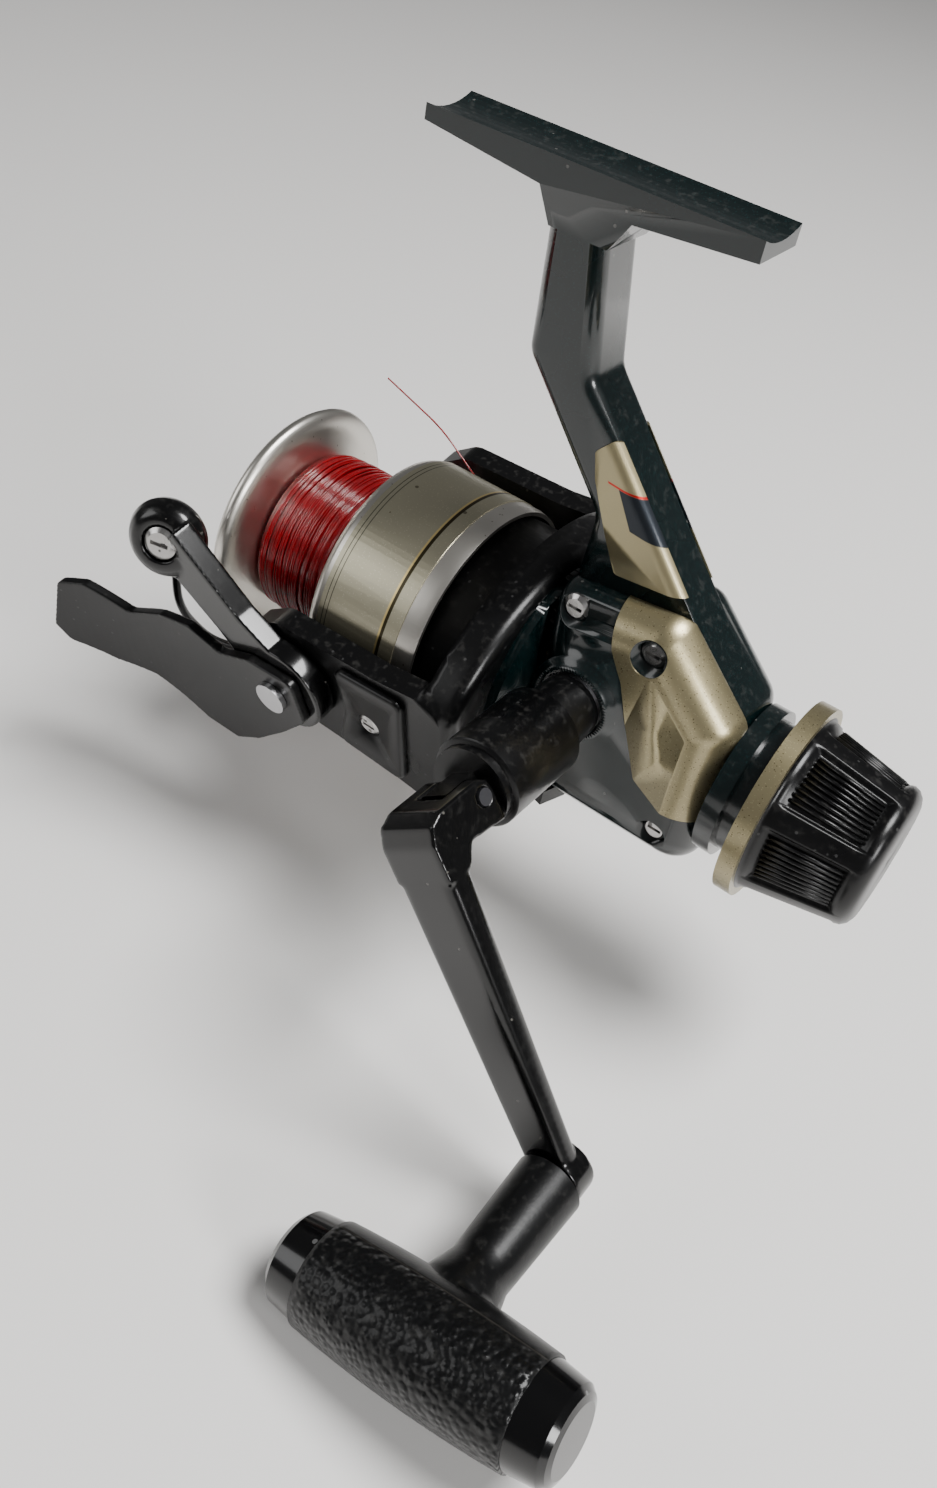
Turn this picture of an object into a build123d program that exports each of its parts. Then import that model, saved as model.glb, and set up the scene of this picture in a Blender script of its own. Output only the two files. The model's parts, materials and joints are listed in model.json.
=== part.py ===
from build123d import *
from math import atan2, cos, degrees, pi, radians, sin, sqrt, tan
import os

os.makedirs("parts", exist_ok=True)

# A rear-drag spinning reel. The origin is the middle of the foot's saddle, +X runs forward to the
# spool, +Y to the handle side and +Z up to the rod. Sizes are in millimetres. Stations called x, y
# and z in this script are counted from the point of the main shaft that is under the crank axis.

# Where the mechanism sits
CRANK_X = -23.9
SHAFT_Z = -91.4
CRANK_RISE = 7.0
ROTOR_TURN = -14.0
GAP = 0.3
RUNNING_FIT = 0.05

# Foot and stem
FOOT_LENGTH = 61.0
FOOT_WIDTH = 12.0
FOOT_END_THICKNESS = 2.6
SADDLE_RADIUS = 14.5
STEM_HALF = 6.0
STEM_ROUND = 2.6

# Housing
HOUSING_HALF = 12.5
COVER_SPLIT = 4.5
EDGE_ROUND = 7.6
CAVITY_HALF = 9.6
HOUSING_REAR = -29.5
HOUSING_WAIST = 11.0
HOUSING_FRONT = 18.6
HOUSING_BOTTOM = -19.5
FRONT_DISC_RADIUS = 22.4
WALL = 1.8
BOSS_RADIUS = 8.9
BOSS_FACE = 13.5

# Gears
PINION_TEETH = 9
PINION_PITCH = 3.4
DRIVE_TEETH = 37
DRIVE_OUTER = 16.4
HUB_TEETH = 14
HUB_PITCH = 5.25
WHEEL_X = -15.0
WHEEL_RISE = 2.2
SPOOL_TRAVEL = 7.5

# Rotor and bail
ROTOR_REAR = 12.6
FLANGE_FRONT = 20.0
CUP_FRONT = 33.0
CUP_RADIUS = 23.9
FLANGE_HALF_LENGTH = 34.5
FLANGE_HALF_HEIGHT = 25.0
ARM_INNER = 26.6
ARM_OUTER = 31.4
ARM_HALF_WIDTH = 12.0
PIVOT_X = 50.0
BAIL_ARM_REACH = 35.0
BAIL_ARM_ANGLE = 41.0
BULB_TILT = 32.0
BULB_RADIUS = 7.8
WIRE_RADIUS = 0.9

# Spool and main shaft
SHAFT_RADIUS = 1.8
SKIRT_REAR = 28.4
SKIRT_RADIUS = 25.6
SKIRT_WALL = 1.1
SKIRT_FRONT = 52.1
ARBOR_RADIUS = 14.0
WINDING_RADIUS = 17.8
LIP_X = 77.8
LIP_RADIUS = 25.2

# Crank and handle knob
CRANK_RADIUS = 66.4
CRANK_TURN = -128.8
SHANK_RADIUS = 8.55
SHANK_START = 24.8
SHANK_END = 43.6
FOLD_Y = 48.6
STEM_BASE_Y = 64.9
GRIP_Y = 99.5
GRIP_HALF_LENGTH = 27.0
GRIP_RADIUS = 9.9
GRIP_TURN = -14.0

# Anti-reverse lever under the housing
LEVER_X = 3.0
LEVER_Y = 2.6

# Drag knob
RING_X = -36.6
RING_RADIUS = 19.35
KNOB_REAR = -60.1

SHAFT_POINT = (CRANK_X, 0, SHAFT_Z)
CRANK_POINT = (CRANK_X, 0, SHAFT_Z + CRANK_RISE)
FORWARD = (1, 0, 0)
SIDEWAYS = (0, 1, 0)
UPWARD = (0, 0, 1)
ROTOR_SIDE = (0, cos(radians(ROTOR_TURN)), sin(radians(ROTOR_TURN)))
ROTOR_UP = (0, -sin(radians(ROTOR_TURN)), cos(radians(ROTOR_TURN)))
ARM_ALONG = (cos(radians(CRANK_TURN)), 0, sin(radians(CRANK_TURN)))


def across(x, turn=0.0):
    """The plane square to the main shaft at station x: its own x runs to the handle side, y up."""
    angle = radians(turn)
    return Plane(origin=(CRANK_X + x, 0, SHAFT_Z), x_dir=(0, cos(angle), sin(angle)), z_dir=FORWARD)


def side(y, turn=0.0):
    """The upright plane y out to the handle side: its own x runs forward, its own y up."""
    angle = radians(turn)
    spot = (CRANK_X, y * cos(angle), SHAFT_Z + y * sin(angle))
    return Plane(origin=spot, x_dir=FORWARD, z_dir=(0, -cos(angle), -sin(angle)))


def station(x, y, z, turn=0.0):
    """The point at stations x, y and z, turned about the main shaft."""
    angle = radians(turn)
    return (
        CRANK_X + x,
        y * cos(angle) - z * sin(angle),
        SHAFT_Z + y * sin(angle) + z * cos(angle),
    )


def lathe(outline, at=SHAFT_POINT, along=FORWARD, mode=Mode.ADD):
    """Turn a closed outline of (along, radius) points about the axis through a point."""
    normal = Vector(*along).cross(Vector(*UPWARD)) if tuple(along) != UPWARD else Vector(0, -1, 0)
    with BuildSketch(Plane(origin=at, x_dir=along, z_dir=normal)) as profile:
        with BuildLine():
            Polyline(*outline, close=True)
        make_face()
    revolve(profile.sketch, axis=Axis(at, along), mode=mode)


def tube(start, end, outer, inner=0.0, at=SHAFT_POINT, along=FORWARD, mode=Mode.ADD):
    """A cylinder or a ring between two stations along an axis."""
    lathe([(start, inner), (end, inner), (end, outer), (start, outer)], at, along, mode)


def slab(outline, plane, thickness, corner=0.0, mode=Mode.ADD):
    """Extrude a closed outline with rounded corners from a plane."""
    with BuildSketch(plane) as profile:
        with BuildLine():
            if corner:
                FilletPolyline(*outline, radius=corner, close=True)
            else:
                Polyline(*outline, close=True)
        make_face()
    extrude(profile.sketch, amount=thickness, mode=mode)


def keep(builder, name):
    """Label a finished piece and write it to its own file."""
    builder.part.label = name
    export_step(builder.part, f"parts/{name}.step")


def screw(name, heads, along, radius, depth, length):
    """Pan-head screws with a cross recess, one at each head point, driven against an axis."""
    with BuildPart() as screws:
        for head in heads:
            if length:
                tube(-length, 0, radius * 0.45, at=head, along=along)
            lathe(
                [
                    (0, 0),
                    (0, radius),
                    (depth * 0.5, radius),
                    (depth, radius * 0.72),
                    (depth, 0),
                ],
                head,
                along,
            )
            top = Vector(*head) + Vector(*along) * (depth * 0.45)
            for turn in (0, 90):
                plane = Plane(origin=top, x_dir=FORWARD, z_dir=along).rotated((0, 0, turn))
                with BuildSketch(plane) as cross:
                    Rectangle(radius * 1.1, radius * 0.26)
                extrude(cross.sketch, amount=depth, mode=Mode.SUBTRACT)
    keep(screws, name)


# ---- Body frame: foot, stem and housing in one casting ----
foot_top = -SHAFT_Z
saddle_sag = SADDLE_RADIUS - sqrt(SADDLE_RADIUS**2 - (FOOT_WIDTH / 2) ** 2)
foot_rear = -CRANK_X - FOOT_LENGTH / 2
foot_front = foot_rear + FOOT_LENGTH
stem_outline = [
    (29.6, 90.0),
    (28.4, 61.5),
    (9.0, 39.0),
    (10.0, 20.0),
    (-24.0, 6.0),
    (-24.5, 18.0),
    (14.9, 61.5),
    (19.6, 90.0),
]
housing_outline = [
    (HOUSING_WAIST, HOUSING_BOTTOM),
    (HOUSING_WAIST, 26.6),
    (-13.0, 29.6),
    (HOUSING_REAR, 14.6),
    (HOUSING_REAR, HOUSING_BOTTOM),
]
cavity_outline = [
    (HOUSING_WAIST + 1.6, HOUSING_BOTTOM + 3),
    (HOUSING_WAIST + 1.6, 18.6),
    (8.0, 24.0),
    (-9.5, 24.0),
    (HOUSING_REAR + 3, 13.0),
    (HOUSING_REAR + 3, HOUSING_BOTTOM + 3),
]


def stem_block(skin):
    """The stem down to the housing, a skin thicker all round."""
    with BuildSketch(side(-STEM_HALF - skin)) as profile:
        with BuildLine():
            FilletPolyline(*stem_outline, radius=4.5, close=True)
        make_face()
        offset(amount=skin)
    with BuildPart() as block:
        extrude(profile.sketch, amount=-2 * (STEM_HALF + skin))
        fillet(block.edges().filter_by(Axis.Y, reverse=True), radius=STEM_ROUND + skin)
    return block.part


def housing_half(split, skin, hand):
    """One half of the housing shell, a skin thicker all round, filled in: hand is 1 or -1."""
    with BuildSketch(side(split)) as profile:
        with BuildLine():
            FilletPolyline(*housing_outline, radius=5.0, close=True)
        make_face()
        offset(amount=skin)
    with BuildPart() as half:
        extrude(profile.sketch, amount=-hand * (HOUSING_HALF + skin) + split)
        far = half.faces().filter_by(Axis.Y).sort_by(Axis.Y)[-1 if hand > 0 else 0]
        fillet(far.edges(), radius=EDGE_ROUND + skin)
    return half.part


with BuildPart() as body_frame:
    add(stem_block(0.0))
    foot_outline = [
        (foot_front, foot_top + saddle_sag),
        (foot_front, foot_top + saddle_sag - FOOT_END_THICKNESS),
        (31.5, foot_top - 3.6),
        (28.6, foot_top - 9.0),
        (17.6, foot_top - 9.0),
        (14.5, foot_top - 4.0),
        (foot_rear, foot_top + saddle_sag - FOOT_END_THICKNESS - 0.8),
        (foot_rear, foot_top + saddle_sag),
    ]
    slab(foot_outline, side(-FOOT_WIDTH / 2), -FOOT_WIDTH)
    add(housing_half(COVER_SPLIT, 0.0, -1))
    lathe(
        [
            (HOUSING_WAIST - 2.5, 0),
            (HOUSING_WAIST - 2.5, HOUSING_HALF),
            (HOUSING_WAIST, FRONT_DISC_RADIUS),
            (HOUSING_FRONT, FRONT_DISC_RADIUS),
            (HOUSING_FRONT, 0),
        ]
    )
    slab(cavity_outline, side(-CAVITY_HALF), -2 * CAVITY_HALF, mode=Mode.SUBTRACT)
    tube(HOUSING_WAIST + 1.4, HOUSING_FRONT - WALL, FRONT_DISC_RADIUS - 1.2, mode=Mode.SUBTRACT)
    with BuildSketch(side(COVER_SPLIT)) as cover_seat:
        with BuildLine():
            FilletPolyline(*housing_outline, radius=5.0, close=True)
        make_face()
    extrude(cover_seat.sketch, amount=-(HOUSING_HALF - COVER_SPLIT), mode=Mode.SUBTRACT)
    saddle_axis = station(foot_rear - 1, 0, foot_top + SADDLE_RADIUS)
    tube(0, FOOT_LENGTH + 2, SADDLE_RADIUS, at=saddle_axis, mode=Mode.SUBTRACT)
    tube(HOUSING_FRONT - 3, HOUSING_FRONT + 1, 6.5, mode=Mode.SUBTRACT)
    tube(HOUSING_REAR - 1, HOUSING_REAR + 4, 9.5, mode=Mode.SUBTRACT)
    tube(-HOUSING_HALF - 1, -CAVITY_HALF + 1, 6.0, at=CRANK_POINT, along=SIDEWAYS, mode=Mode.SUBTRACT)
    lever_bore = station(LEVER_X, LEVER_Y, 0)
    tube(HOUSING_BOTTOM - 1, HOUSING_BOTTOM + 4, 1.25, at=lever_bore, along=UPWARD, mode=Mode.SUBTRACT)
keep(body_frame, "body_frame")

# ---- Side cover with the crank boss ----
SCREW_SEAT = 9.4
SCREW_RADIUS = 2.5
upper_screws = [(5.6, 23.6), (-10.9, 22.8)]
lower_screws = [(4.0, -12.6), (-21.5, -12.6)]
with BuildPart() as side_cover:
    add(housing_half(COVER_SPLIT, 0.0, 1))
    slab(cavity_outline, side(-CAVITY_HALF), -2 * CAVITY_HALF, mode=Mode.SUBTRACT)
    for x, z in upper_screws + lower_screws:
        tube(7.4, 11.2, 4.0, at=station(x, 0, z), along=SIDEWAYS)
    add(housing_half(COVER_SPLIT, 0.0, 1), mode=Mode.INTERSECT)
    for x, z in upper_screws + lower_screws:
        spot = station(x, 0, z)
        tube(SCREW_SEAT, 15.0, SCREW_RADIUS + 0.5, at=spot, along=SIDEWAYS, mode=Mode.SUBTRACT)
    tube(HOUSING_HALF - 2, BOSS_FACE, BOSS_RADIUS, at=CRANK_POINT, along=SIDEWAYS)
    tube(BOSS_FACE, BOSS_FACE + 1.0, BOSS_RADIUS - 1.2, BOSS_RADIUS - 2.4, at=CRANK_POINT, along=SIDEWAYS)
    tube(CAVITY_HALF - 6, BOSS_FACE + 2, 6.0, at=CRANK_POINT, along=SIDEWAYS, mode=Mode.SUBTRACT)
    tube(HOUSING_REAR - 1, HOUSING_REAR + 4, 9.5, mode=Mode.SUBTRACT)
    lathe(
        [
            (HOUSING_WAIST - 2.5, 0),
            (HOUSING_WAIST - 2.5, HOUSING_HALF),
            (HOUSING_WAIST, FRONT_DISC_RADIUS),
            (HOUSING_WAIST + 2, FRONT_DISC_RADIUS),
            (HOUSING_WAIST + 2, 0),
        ],
        mode=Mode.SUBTRACT,
    )
keep(side_cover, "side_cover")

# ---- Decor plates ----
DECOR = 0.3
lower_badge_outline = [
    (-1.6, 29.6),
    (-4.2, 21.0),
    (-7.6, 15.6),
    (-10.6, 8.0),
    (-15.2, -2.4),
    (-22.0, -6.4),
    (-32.0, -6.4),
    (-32.0, 31.0),
    (-13.0, 31.0),
]
with BuildPart() as badge_lower:
    add(housing_half(COVER_SPLIT, DECOR, 1))
    add(housing_half(COVER_SPLIT, 0.0, 1), mode=Mode.SUBTRACT)
    slab(lower_badge_outline, side(COVER_SPLIT), -3 * EDGE_ROUND, corner=1.2, mode=Mode.INTERSECT)
    tube(HOUSING_REAR - 1, HOUSING_REAR, 30.0, mode=Mode.SUBTRACT)
    tube(HOUSING_REAR - 1, HOUSING_REAR + 4, 9.6, mode=Mode.SUBTRACT)
    add(body_frame.part, mode=Mode.SUBTRACT)
    for x, z in upper_screws:
        tube(0, 20.0, SCREW_RADIUS + 0.9, at=station(x, 0, z), along=SIDEWAYS, mode=Mode.SUBTRACT)
keep(badge_lower, "badge_lower")

upper_badge_outline = [
    (10.0, 46.0),
    (11.2, 50.8),
    (8.6, 53.6),
    (4.6, 53.4),
    (-14.4, 32.8),
    (2.0, 30.8),
    (5.4, 36.6),
]
BAND_HALF = 4.3
for name, hand in (("badge_upper", 1), ("badge_far", -1)):
    with BuildPart() as badge:
        add(stem_block(DECOR))
        add(stem_block(0.0), mode=Mode.SUBTRACT)
        slab(upper_badge_outline, side(hand * BAND_HALF), -hand * STEM_HALF, corner=0.9, mode=Mode.INTERSECT)
        add(body_frame.part, mode=Mode.SUBTRACT)
        add(side_cover.part, mode=Mode.SUBTRACT)
    keep(badge, name)

# ---- Bearings, cap and screws of the housing ----
bore = 4.0 + RUNNING_FIT
with BuildPart() as crank_bearing_right:
    tube(CAVITY_HALF - 2.6, BOSS_FACE - 0.4, 6.0, bore, at=CRANK_POINT, along=SIDEWAYS)
keep(crank_bearing_right, "crank_bearing_right")

with BuildPart() as crank_bearing_left:
    tube(-HOUSING_HALF + 0.6, -CAVITY_HALF + 0.8, 6.0, bore, at=CRANK_POINT, along=SIDEWAYS)
keep(crank_bearing_left, "crank_bearing_left")

with BuildPart() as side_cap:
    lathe(
        [
            (-HOUSING_HALF + 0.6, 0),
            (-HOUSING_HALF + 0.6, 6.0),
            (-HOUSING_HALF, 6.0),
            (-HOUSING_HALF, 8.4),
            (-HOUSING_HALF - 1.0, 8.0),
            (-HOUSING_HALF - 1.5, 6.4),
            (-HOUSING_HALF - 1.5, 0),
        ],
        CRANK_POINT,
        SIDEWAYS,
    )
keep(side_cap, "side_cap")

screw(
    "cover_screws",
    [station(x, SCREW_SEAT, z) for x, z in upper_screws + lower_screws],
    SIDEWAYS,
    SCREW_RADIUS,
    1.2,
    1.6,
)

with BuildPart() as pinion_bearing:
    tube(HOUSING_FRONT - WALL, HOUSING_FRONT + 1.2, 6.5, 3.3)
keep(pinion_bearing, "pinion_bearing")

retainer_outer = 10.5
with BuildPart() as bearing_retainer:
    tube(HOUSING_FRONT, HOUSING_FRONT + 0.8, retainer_outer, 6.5)
keep(bearing_retainer, "bearing_retainer")

# ---- Drive train ----
def toothed(plane, teeth, pitch, module, length, outer_add=1.0, root_add=1.15):
    """A spur gear blank with straight-flanked teeth, extruded from a plane."""
    root = pitch - root_add * module
    outer = pitch + outer_add * module
    half_root = pitch * 0.42 * pi / teeth
    half_tip = pitch * 0.20 * pi / teeth
    with BuildSketch(plane) as profile:
        Circle(root)
        with PolarLocations(0, teeth):
            with BuildLine():
                Polyline(
                    (root - 0.3, -half_root),
                    (outer, -half_tip),
                    (outer, half_tip),
                    (root - 0.3, half_root),
                    close=True,
                )
            make_face()
    extrude(profile.sketch, amount=length)


hub_module = HUB_PITCH * 2 / HUB_TEETH
HUB_GEAR_Y = 4.2
HUB_GEAR_WIDTH = 2.4
FACE_DISC_Y = -7.6
FACE_TOOTH_Y = -PINION_PITCH + 0.5
with BuildPart() as drive_gear:
    tube(-HOUSING_HALF + 0.9, BOSS_FACE + 1.4, 4.0, at=CRANK_POINT, along=SIDEWAYS)
    lathe(
        [
            (FACE_DISC_Y, 0),
            (FACE_DISC_Y, DRIVE_OUTER),
            (FACE_DISC_Y + 2.0, DRIVE_OUTER),
            (FACE_DISC_Y + 2.0, 8.0),
            (-3.6, 6.0),
            (-3.6, 0),
        ],
        CRANK_POINT,
        SIDEWAYS,
    )
    contact_x = PINION_PITCH * DRIVE_TEETH / PINION_TEETH
    contact_angle = atan2(-CRANK_RISE, contact_x)
    contact_radius = sqrt(contact_x**2 + CRANK_RISE**2)
    tooth_plane = Plane(
        origin=(CRANK_X, FACE_DISC_Y + 2.0, SHAFT_Z + CRANK_RISE),
        x_dir=(cos(contact_angle), 0, sin(contact_angle)),
        z_dir=SIDEWAYS,
    )
    with BuildSketch(tooth_plane) as crown:
        with PolarLocations(contact_radius, DRIVE_TEETH):
            Rectangle(1.5, 0.72, rotation=degrees(contact_angle))
    extrude(crown.sketch, amount=FACE_TOOTH_Y - FACE_DISC_Y - 2.0)
    toothed(
        Plane(origin=(CRANK_X, HUB_GEAR_Y, SHAFT_Z + CRANK_RISE), x_dir=FORWARD, z_dir=SIDEWAYS),
        HUB_TEETH,
        HUB_PITCH,
        hub_module,
        HUB_GEAR_WIDTH,
    )
keep(drive_gear, "drive_gear")

pinion_module = 2 * PINION_PITCH / PINION_TEETH
PINION_START = 11.6
with BuildPart() as pinion_gear:
    toothed(across(PINION_START), PINION_TEETH, PINION_PITCH, pinion_module, 4.8, 0.9, 1.1)
    tube(PINION_START + 4.8, 29.6, 3.25)
    tube(PINION_START - 1, 31.0, SHAFT_RADIUS + RUNNING_FIT, mode=Mode.SUBTRACT)
keep(pinion_gear, "pinion_gear")

WHEEL_TEETH = 28
wheel_plane = Plane(origin=station(WHEEL_X, HUB_GEAR_Y, WHEEL_RISE), x_dir=FORWARD, z_dir=SIDEWAYS)
with BuildPart() as oscillation_gear:
    toothed(wheel_plane, WHEEL_TEETH, 2 * HUB_PITCH, hub_module, HUB_GEAR_WIDTH)
    pin_spot = station(WHEEL_X, 0, WHEEL_RISE - SPOOL_TRAVEL)
    tube(HUB_GEAR_Y - 1.0, HUB_GEAR_Y, 1.5, at=pin_spot, along=SIDEWAYS)
    tube(0.0, 9.0, 1.55, at=station(WHEEL_X, 0, WHEEL_RISE), along=SIDEWAYS, mode=Mode.SUBTRACT)
keep(oscillation_gear, "oscillation_gear")

with BuildPart() as gear_axle:
    tube(HUB_GEAR_Y - 0.2, CAVITY_HALF, 1.5, at=station(WHEEL_X, 0, WHEEL_RISE), along=SIDEWAYS)
keep(gear_axle, "gear_axle")

# ---- Main shaft, oscillation slider and its guide ----
SLIDER_FRONT = WHEEL_X + 2.6
SLIDER_REAR = WHEEL_X - 2.6
with BuildPart() as oscillation_slider:
    slab(
        [(SLIDER_REAR, -12.4), (SLIDER_FRONT, -12.4), (SLIDER_FRONT, 12.6), (SLIDER_REAR, 12.6)],
        side(-2.3),
        -5.0,
        corner=1.0,
    )
    slab(
        [(WHEEL_X - 1.8, -7.0), (WHEEL_X + 1.8, -7.0), (WHEEL_X + 1.8, 11.4), (WHEEL_X - 1.8, 11.4)],
        side(2.0),
        -1.5,
        mode=Mode.SUBTRACT,
    )
    tube(SLIDER_REAR - 1, SLIDER_FRONT + 1, SHAFT_RADIUS, mode=Mode.SUBTRACT)
    tube(0, 8, 1.25, at=station(SLIDER_REAR - 1, 0, -9.8), mode=Mode.SUBTRACT)
keep(oscillation_slider, "oscillation_slider")

with BuildPart() as slider_guide_rod:
    tube(HOUSING_REAR + 3, HOUSING_FRONT - WALL, 1.2, at=station(0, 0, -9.8))
keep(slider_guide_rod, "slider_guide_rod")

SHAFT_REAR = -46.0
SHAFT_FRONT = 82.0
with BuildPart() as main_shaft:
    tube(SHAFT_REAR, SHAFT_FRONT, SHAFT_RADIUS)
    chamfer(main_shaft.edges().filter_by(GeomType.CIRCLE), length=0.4)
keep(main_shaft, "main_shaft")

# ---- Rotor ----
with BuildPart() as rotor:
    with BuildSketch(across(ROTOR_REAR, ROTOR_TURN)) as base:
        Ellipse(FLANGE_HALF_LENGTH + 1.5, FLANGE_HALF_HEIGHT)
        with BuildSketch(mode=Mode.INTERSECT):
            Rectangle(2 * ARM_OUTER, 3 * FLANGE_HALF_HEIGHT)
        fillet(base.vertices(), radius=4.0)
    extrude(base.sketch, amount=FLANGE_FRONT - ROTOR_REAR)
    fillet(rotor.faces().sort_by(Axis.X)[0].edges(), radius=2.4)
    for hand in (1, -1):
        arm = [
            (ROTOR_REAR + 2.4, -15.5),
            (30.0, -13.0),
            (PIVOT_X + 4, -ARM_HALF_WIDTH),
            (PIVOT_X + ARM_HALF_WIDTH, -6.0),
            (PIVOT_X + ARM_HALF_WIDTH, 6.0),
            (PIVOT_X + 4, ARM_HALF_WIDTH),
            (30.0, 13.0),
            (ROTOR_REAR + 2.4, 15.5),
        ]
        thickness = ARM_OUTER - ARM_INNER
        slab(arm, side(hand * ARM_INNER, ROTOR_TURN), -hand * thickness, corner=5.5)
    tube(FLANGE_FRONT - 0.5, CUP_FRONT, CUP_RADIUS)
    tube(ROTOR_REAR - 1, HOUSING_FRONT + 2.4, FRONT_DISC_RADIUS + 0.5, mode=Mode.SUBTRACT)
    tube(HOUSING_FRONT + 4.4, CUP_FRONT + 1, CUP_RADIUS - 2.2, mode=Mode.SUBTRACT)
    tube(HOUSING_FRONT + 1.6, 29.6, 7.0)
    tube(HOUSING_FRONT, 31, 3.25, mode=Mode.SUBTRACT)
    for hand in (1, -1):
        point = station(PIVOT_X, 0, 0)
        tube(
            hand * (ARM_INNER - 1),
            hand * (ARM_OUTER + 4),
            2.05,
            at=point,
            along=ROTOR_SIDE,
            mode=Mode.SUBTRACT,
        )
keep(rotor, "rotor")

with BuildPart() as rotor_nut:
    with BuildSketch(across(29.9)) as nut_profile:
        RegularPolygon(5.0, 6)
    extrude(nut_profile.sketch, amount=2.6)
    tube(29, 34, 3.0, mode=Mode.SUBTRACT)
keep(rotor_nut, "rotor_nut")

with BuildPart() as ratchet_wheel:
    with BuildSketch(across(HOUSING_FRONT + 1.6, ROTOR_TURN)) as ratchet_profile:
        Circle(8.6)
        with PolarLocations(0, 8):
            with BuildLine():
                Polyline((7.0, -2.2), (10.0, 0.2), (8.0, 1.6), close=True)
            make_face()
        Circle(7.0, mode=Mode.SUBTRACT)
    extrude(ratchet_profile.sketch, amount=0.8)
keep(ratchet_wheel, "ratchet_wheel")

# ---- Rotor arm covers and their screws ----
COVER_DEPTH = 1.5
cover_front = PIVOT_X - 10.6
COVER_BACK = 23.0
arm_cover_outline = [
    (COVER_BACK, -11.8),
    (cover_front, -10.6),
    (cover_front - 2.5, 0.0),
    (cover_front, 10.6),
    (COVER_BACK, 11.8),
]
for name, hand in (("arm_cover_near", 1), ("arm_cover_far", -1)):
    with BuildPart() as arm_cover:
        slab(arm_cover_outline, side(hand * ARM_OUTER, ROTOR_TURN), -hand * COVER_DEPTH, corner=2.0)
        outer = arm_cover.faces().sort_by(Axis((0, 0, 0), ROTOR_SIDE))[-1 if hand > 0 else 0]
        fillet(outer.edges(), radius=0.9)
        tube(
            hand * (ARM_OUTER + 0.5),
            hand * (ARM_OUTER + 3),
            2.7,
            at=station(31.0, 0, 0),
            along=ROTOR_SIDE,
            mode=Mode.SUBTRACT,
        )
    keep(arm_cover, name)

arm_screw_heads = [station(31.0, ARM_OUTER + 0.5, 0, ROTOR_TURN)]
screw("arm_screw_near", arm_screw_heads, ROTOR_SIDE, 2.4, 0.9, 0.0)
far_side = (0, -ROTOR_SIDE[1], -ROTOR_SIDE[2])
far_screw_heads = [station(31.0, -ARM_OUTER - 0.5, 0, ROTOR_TURN)]
screw("arm_screw_far", far_screw_heads, far_side, 2.4, 0.9, 0.0)

# ---- Bail: arm, trigger, roller, wire and far lever ----
bulb_x = PIVOT_X + BAIL_ARM_REACH * cos(radians(BAIL_ARM_ANGLE))
bulb_z = BAIL_ARM_REACH * sin(radians(BAIL_ARM_ANGLE))
ARM_FACE = ARM_OUTER + 0.3
BAIL_THICKNESS = 4.6
BULB_DEPTH = 7.0
BULB_TOP = 36.8
PIVOT_BOSS = 9.6
pivot_spot = station(PIVOT_X, 0, 0)
bulb_spot = station(bulb_x, BULB_TOP, bulb_z, ROTOR_TURN)
tilt_along = -sin(radians(BULB_TILT)) * sin(radians(BAIL_ARM_ANGLE))
tilt_up = sin(radians(BULB_TILT)) * cos(radians(BAIL_ARM_ANGLE))
tilt_side = cos(radians(BULB_TILT))
BULB_AXIS = tuple(
    Vector(tilt_along, 0, 0) + Vector(*ROTOR_SIDE) * tilt_side + Vector(*ROTOR_UP) * tilt_up
)


def below_bulb(depth):
    """The stations x, y and z of a point under the middle of the bulb's outer face."""
    return (
        bulb_x - tilt_along * depth,
        BULB_TOP - tilt_side * depth,
        bulb_z - tilt_up * depth,
    )


def along_arm(fraction, offset):
    """A point beside the line from the bail pivot to the bulb."""
    angle = radians(BAIL_ARM_ANGLE)
    reach = BAIL_ARM_REACH * fraction
    return (
        PIVOT_X + reach * cos(angle) - offset * sin(angle),
        reach * sin(angle) + offset * cos(angle),
    )


with BuildPart() as bail_arm:
    tube(ARM_FACE, ARM_FACE + BAIL_THICKNESS, PIVOT_BOSS, at=pivot_spot, along=ROTOR_SIDE)
    arm_web = [
        along_arm(0.0, -7.0),
        along_arm(0.45, -5.2),
        along_arm(1.0, -5.6),
        along_arm(1.0, 5.6),
        along_arm(0.45, 4.6),
        along_arm(0.0, 7.0),
    ]
    slab(arm_web, side(ARM_FACE, ROTOR_TURN), -BAIL_THICKNESS)
    lathe(
        [
            (-BULB_DEPTH, 0),
            (-BULB_DEPTH, BULB_RADIUS - 2.0),
            (-BULB_DEPTH + 1.6, BULB_RADIUS - 0.4),
            (-BULB_DEPTH / 2, BULB_RADIUS),
            (-1.6, BULB_RADIUS - 0.8),
            (-0.4, BULB_RADIUS - 2.0),
            (0, BULB_RADIUS - 3.0),
            (0, 0),
        ],
        bulb_spot,
        BULB_AXIS,
    )
    tube(-1.0, 1.0, 3.6, at=bulb_spot, along=BULB_AXIS, mode=Mode.SUBTRACT)
    tube(-BULB_DEPTH - 1, 0.0, 1.25, at=bulb_spot, along=BULB_AXIS, mode=Mode.SUBTRACT)
    tube(ARM_FACE - 1, ARM_FACE + 9, 2.05, at=pivot_spot, along=ROTOR_SIDE, mode=Mode.SUBTRACT)
keep(bail_arm, "bail_arm")

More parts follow.
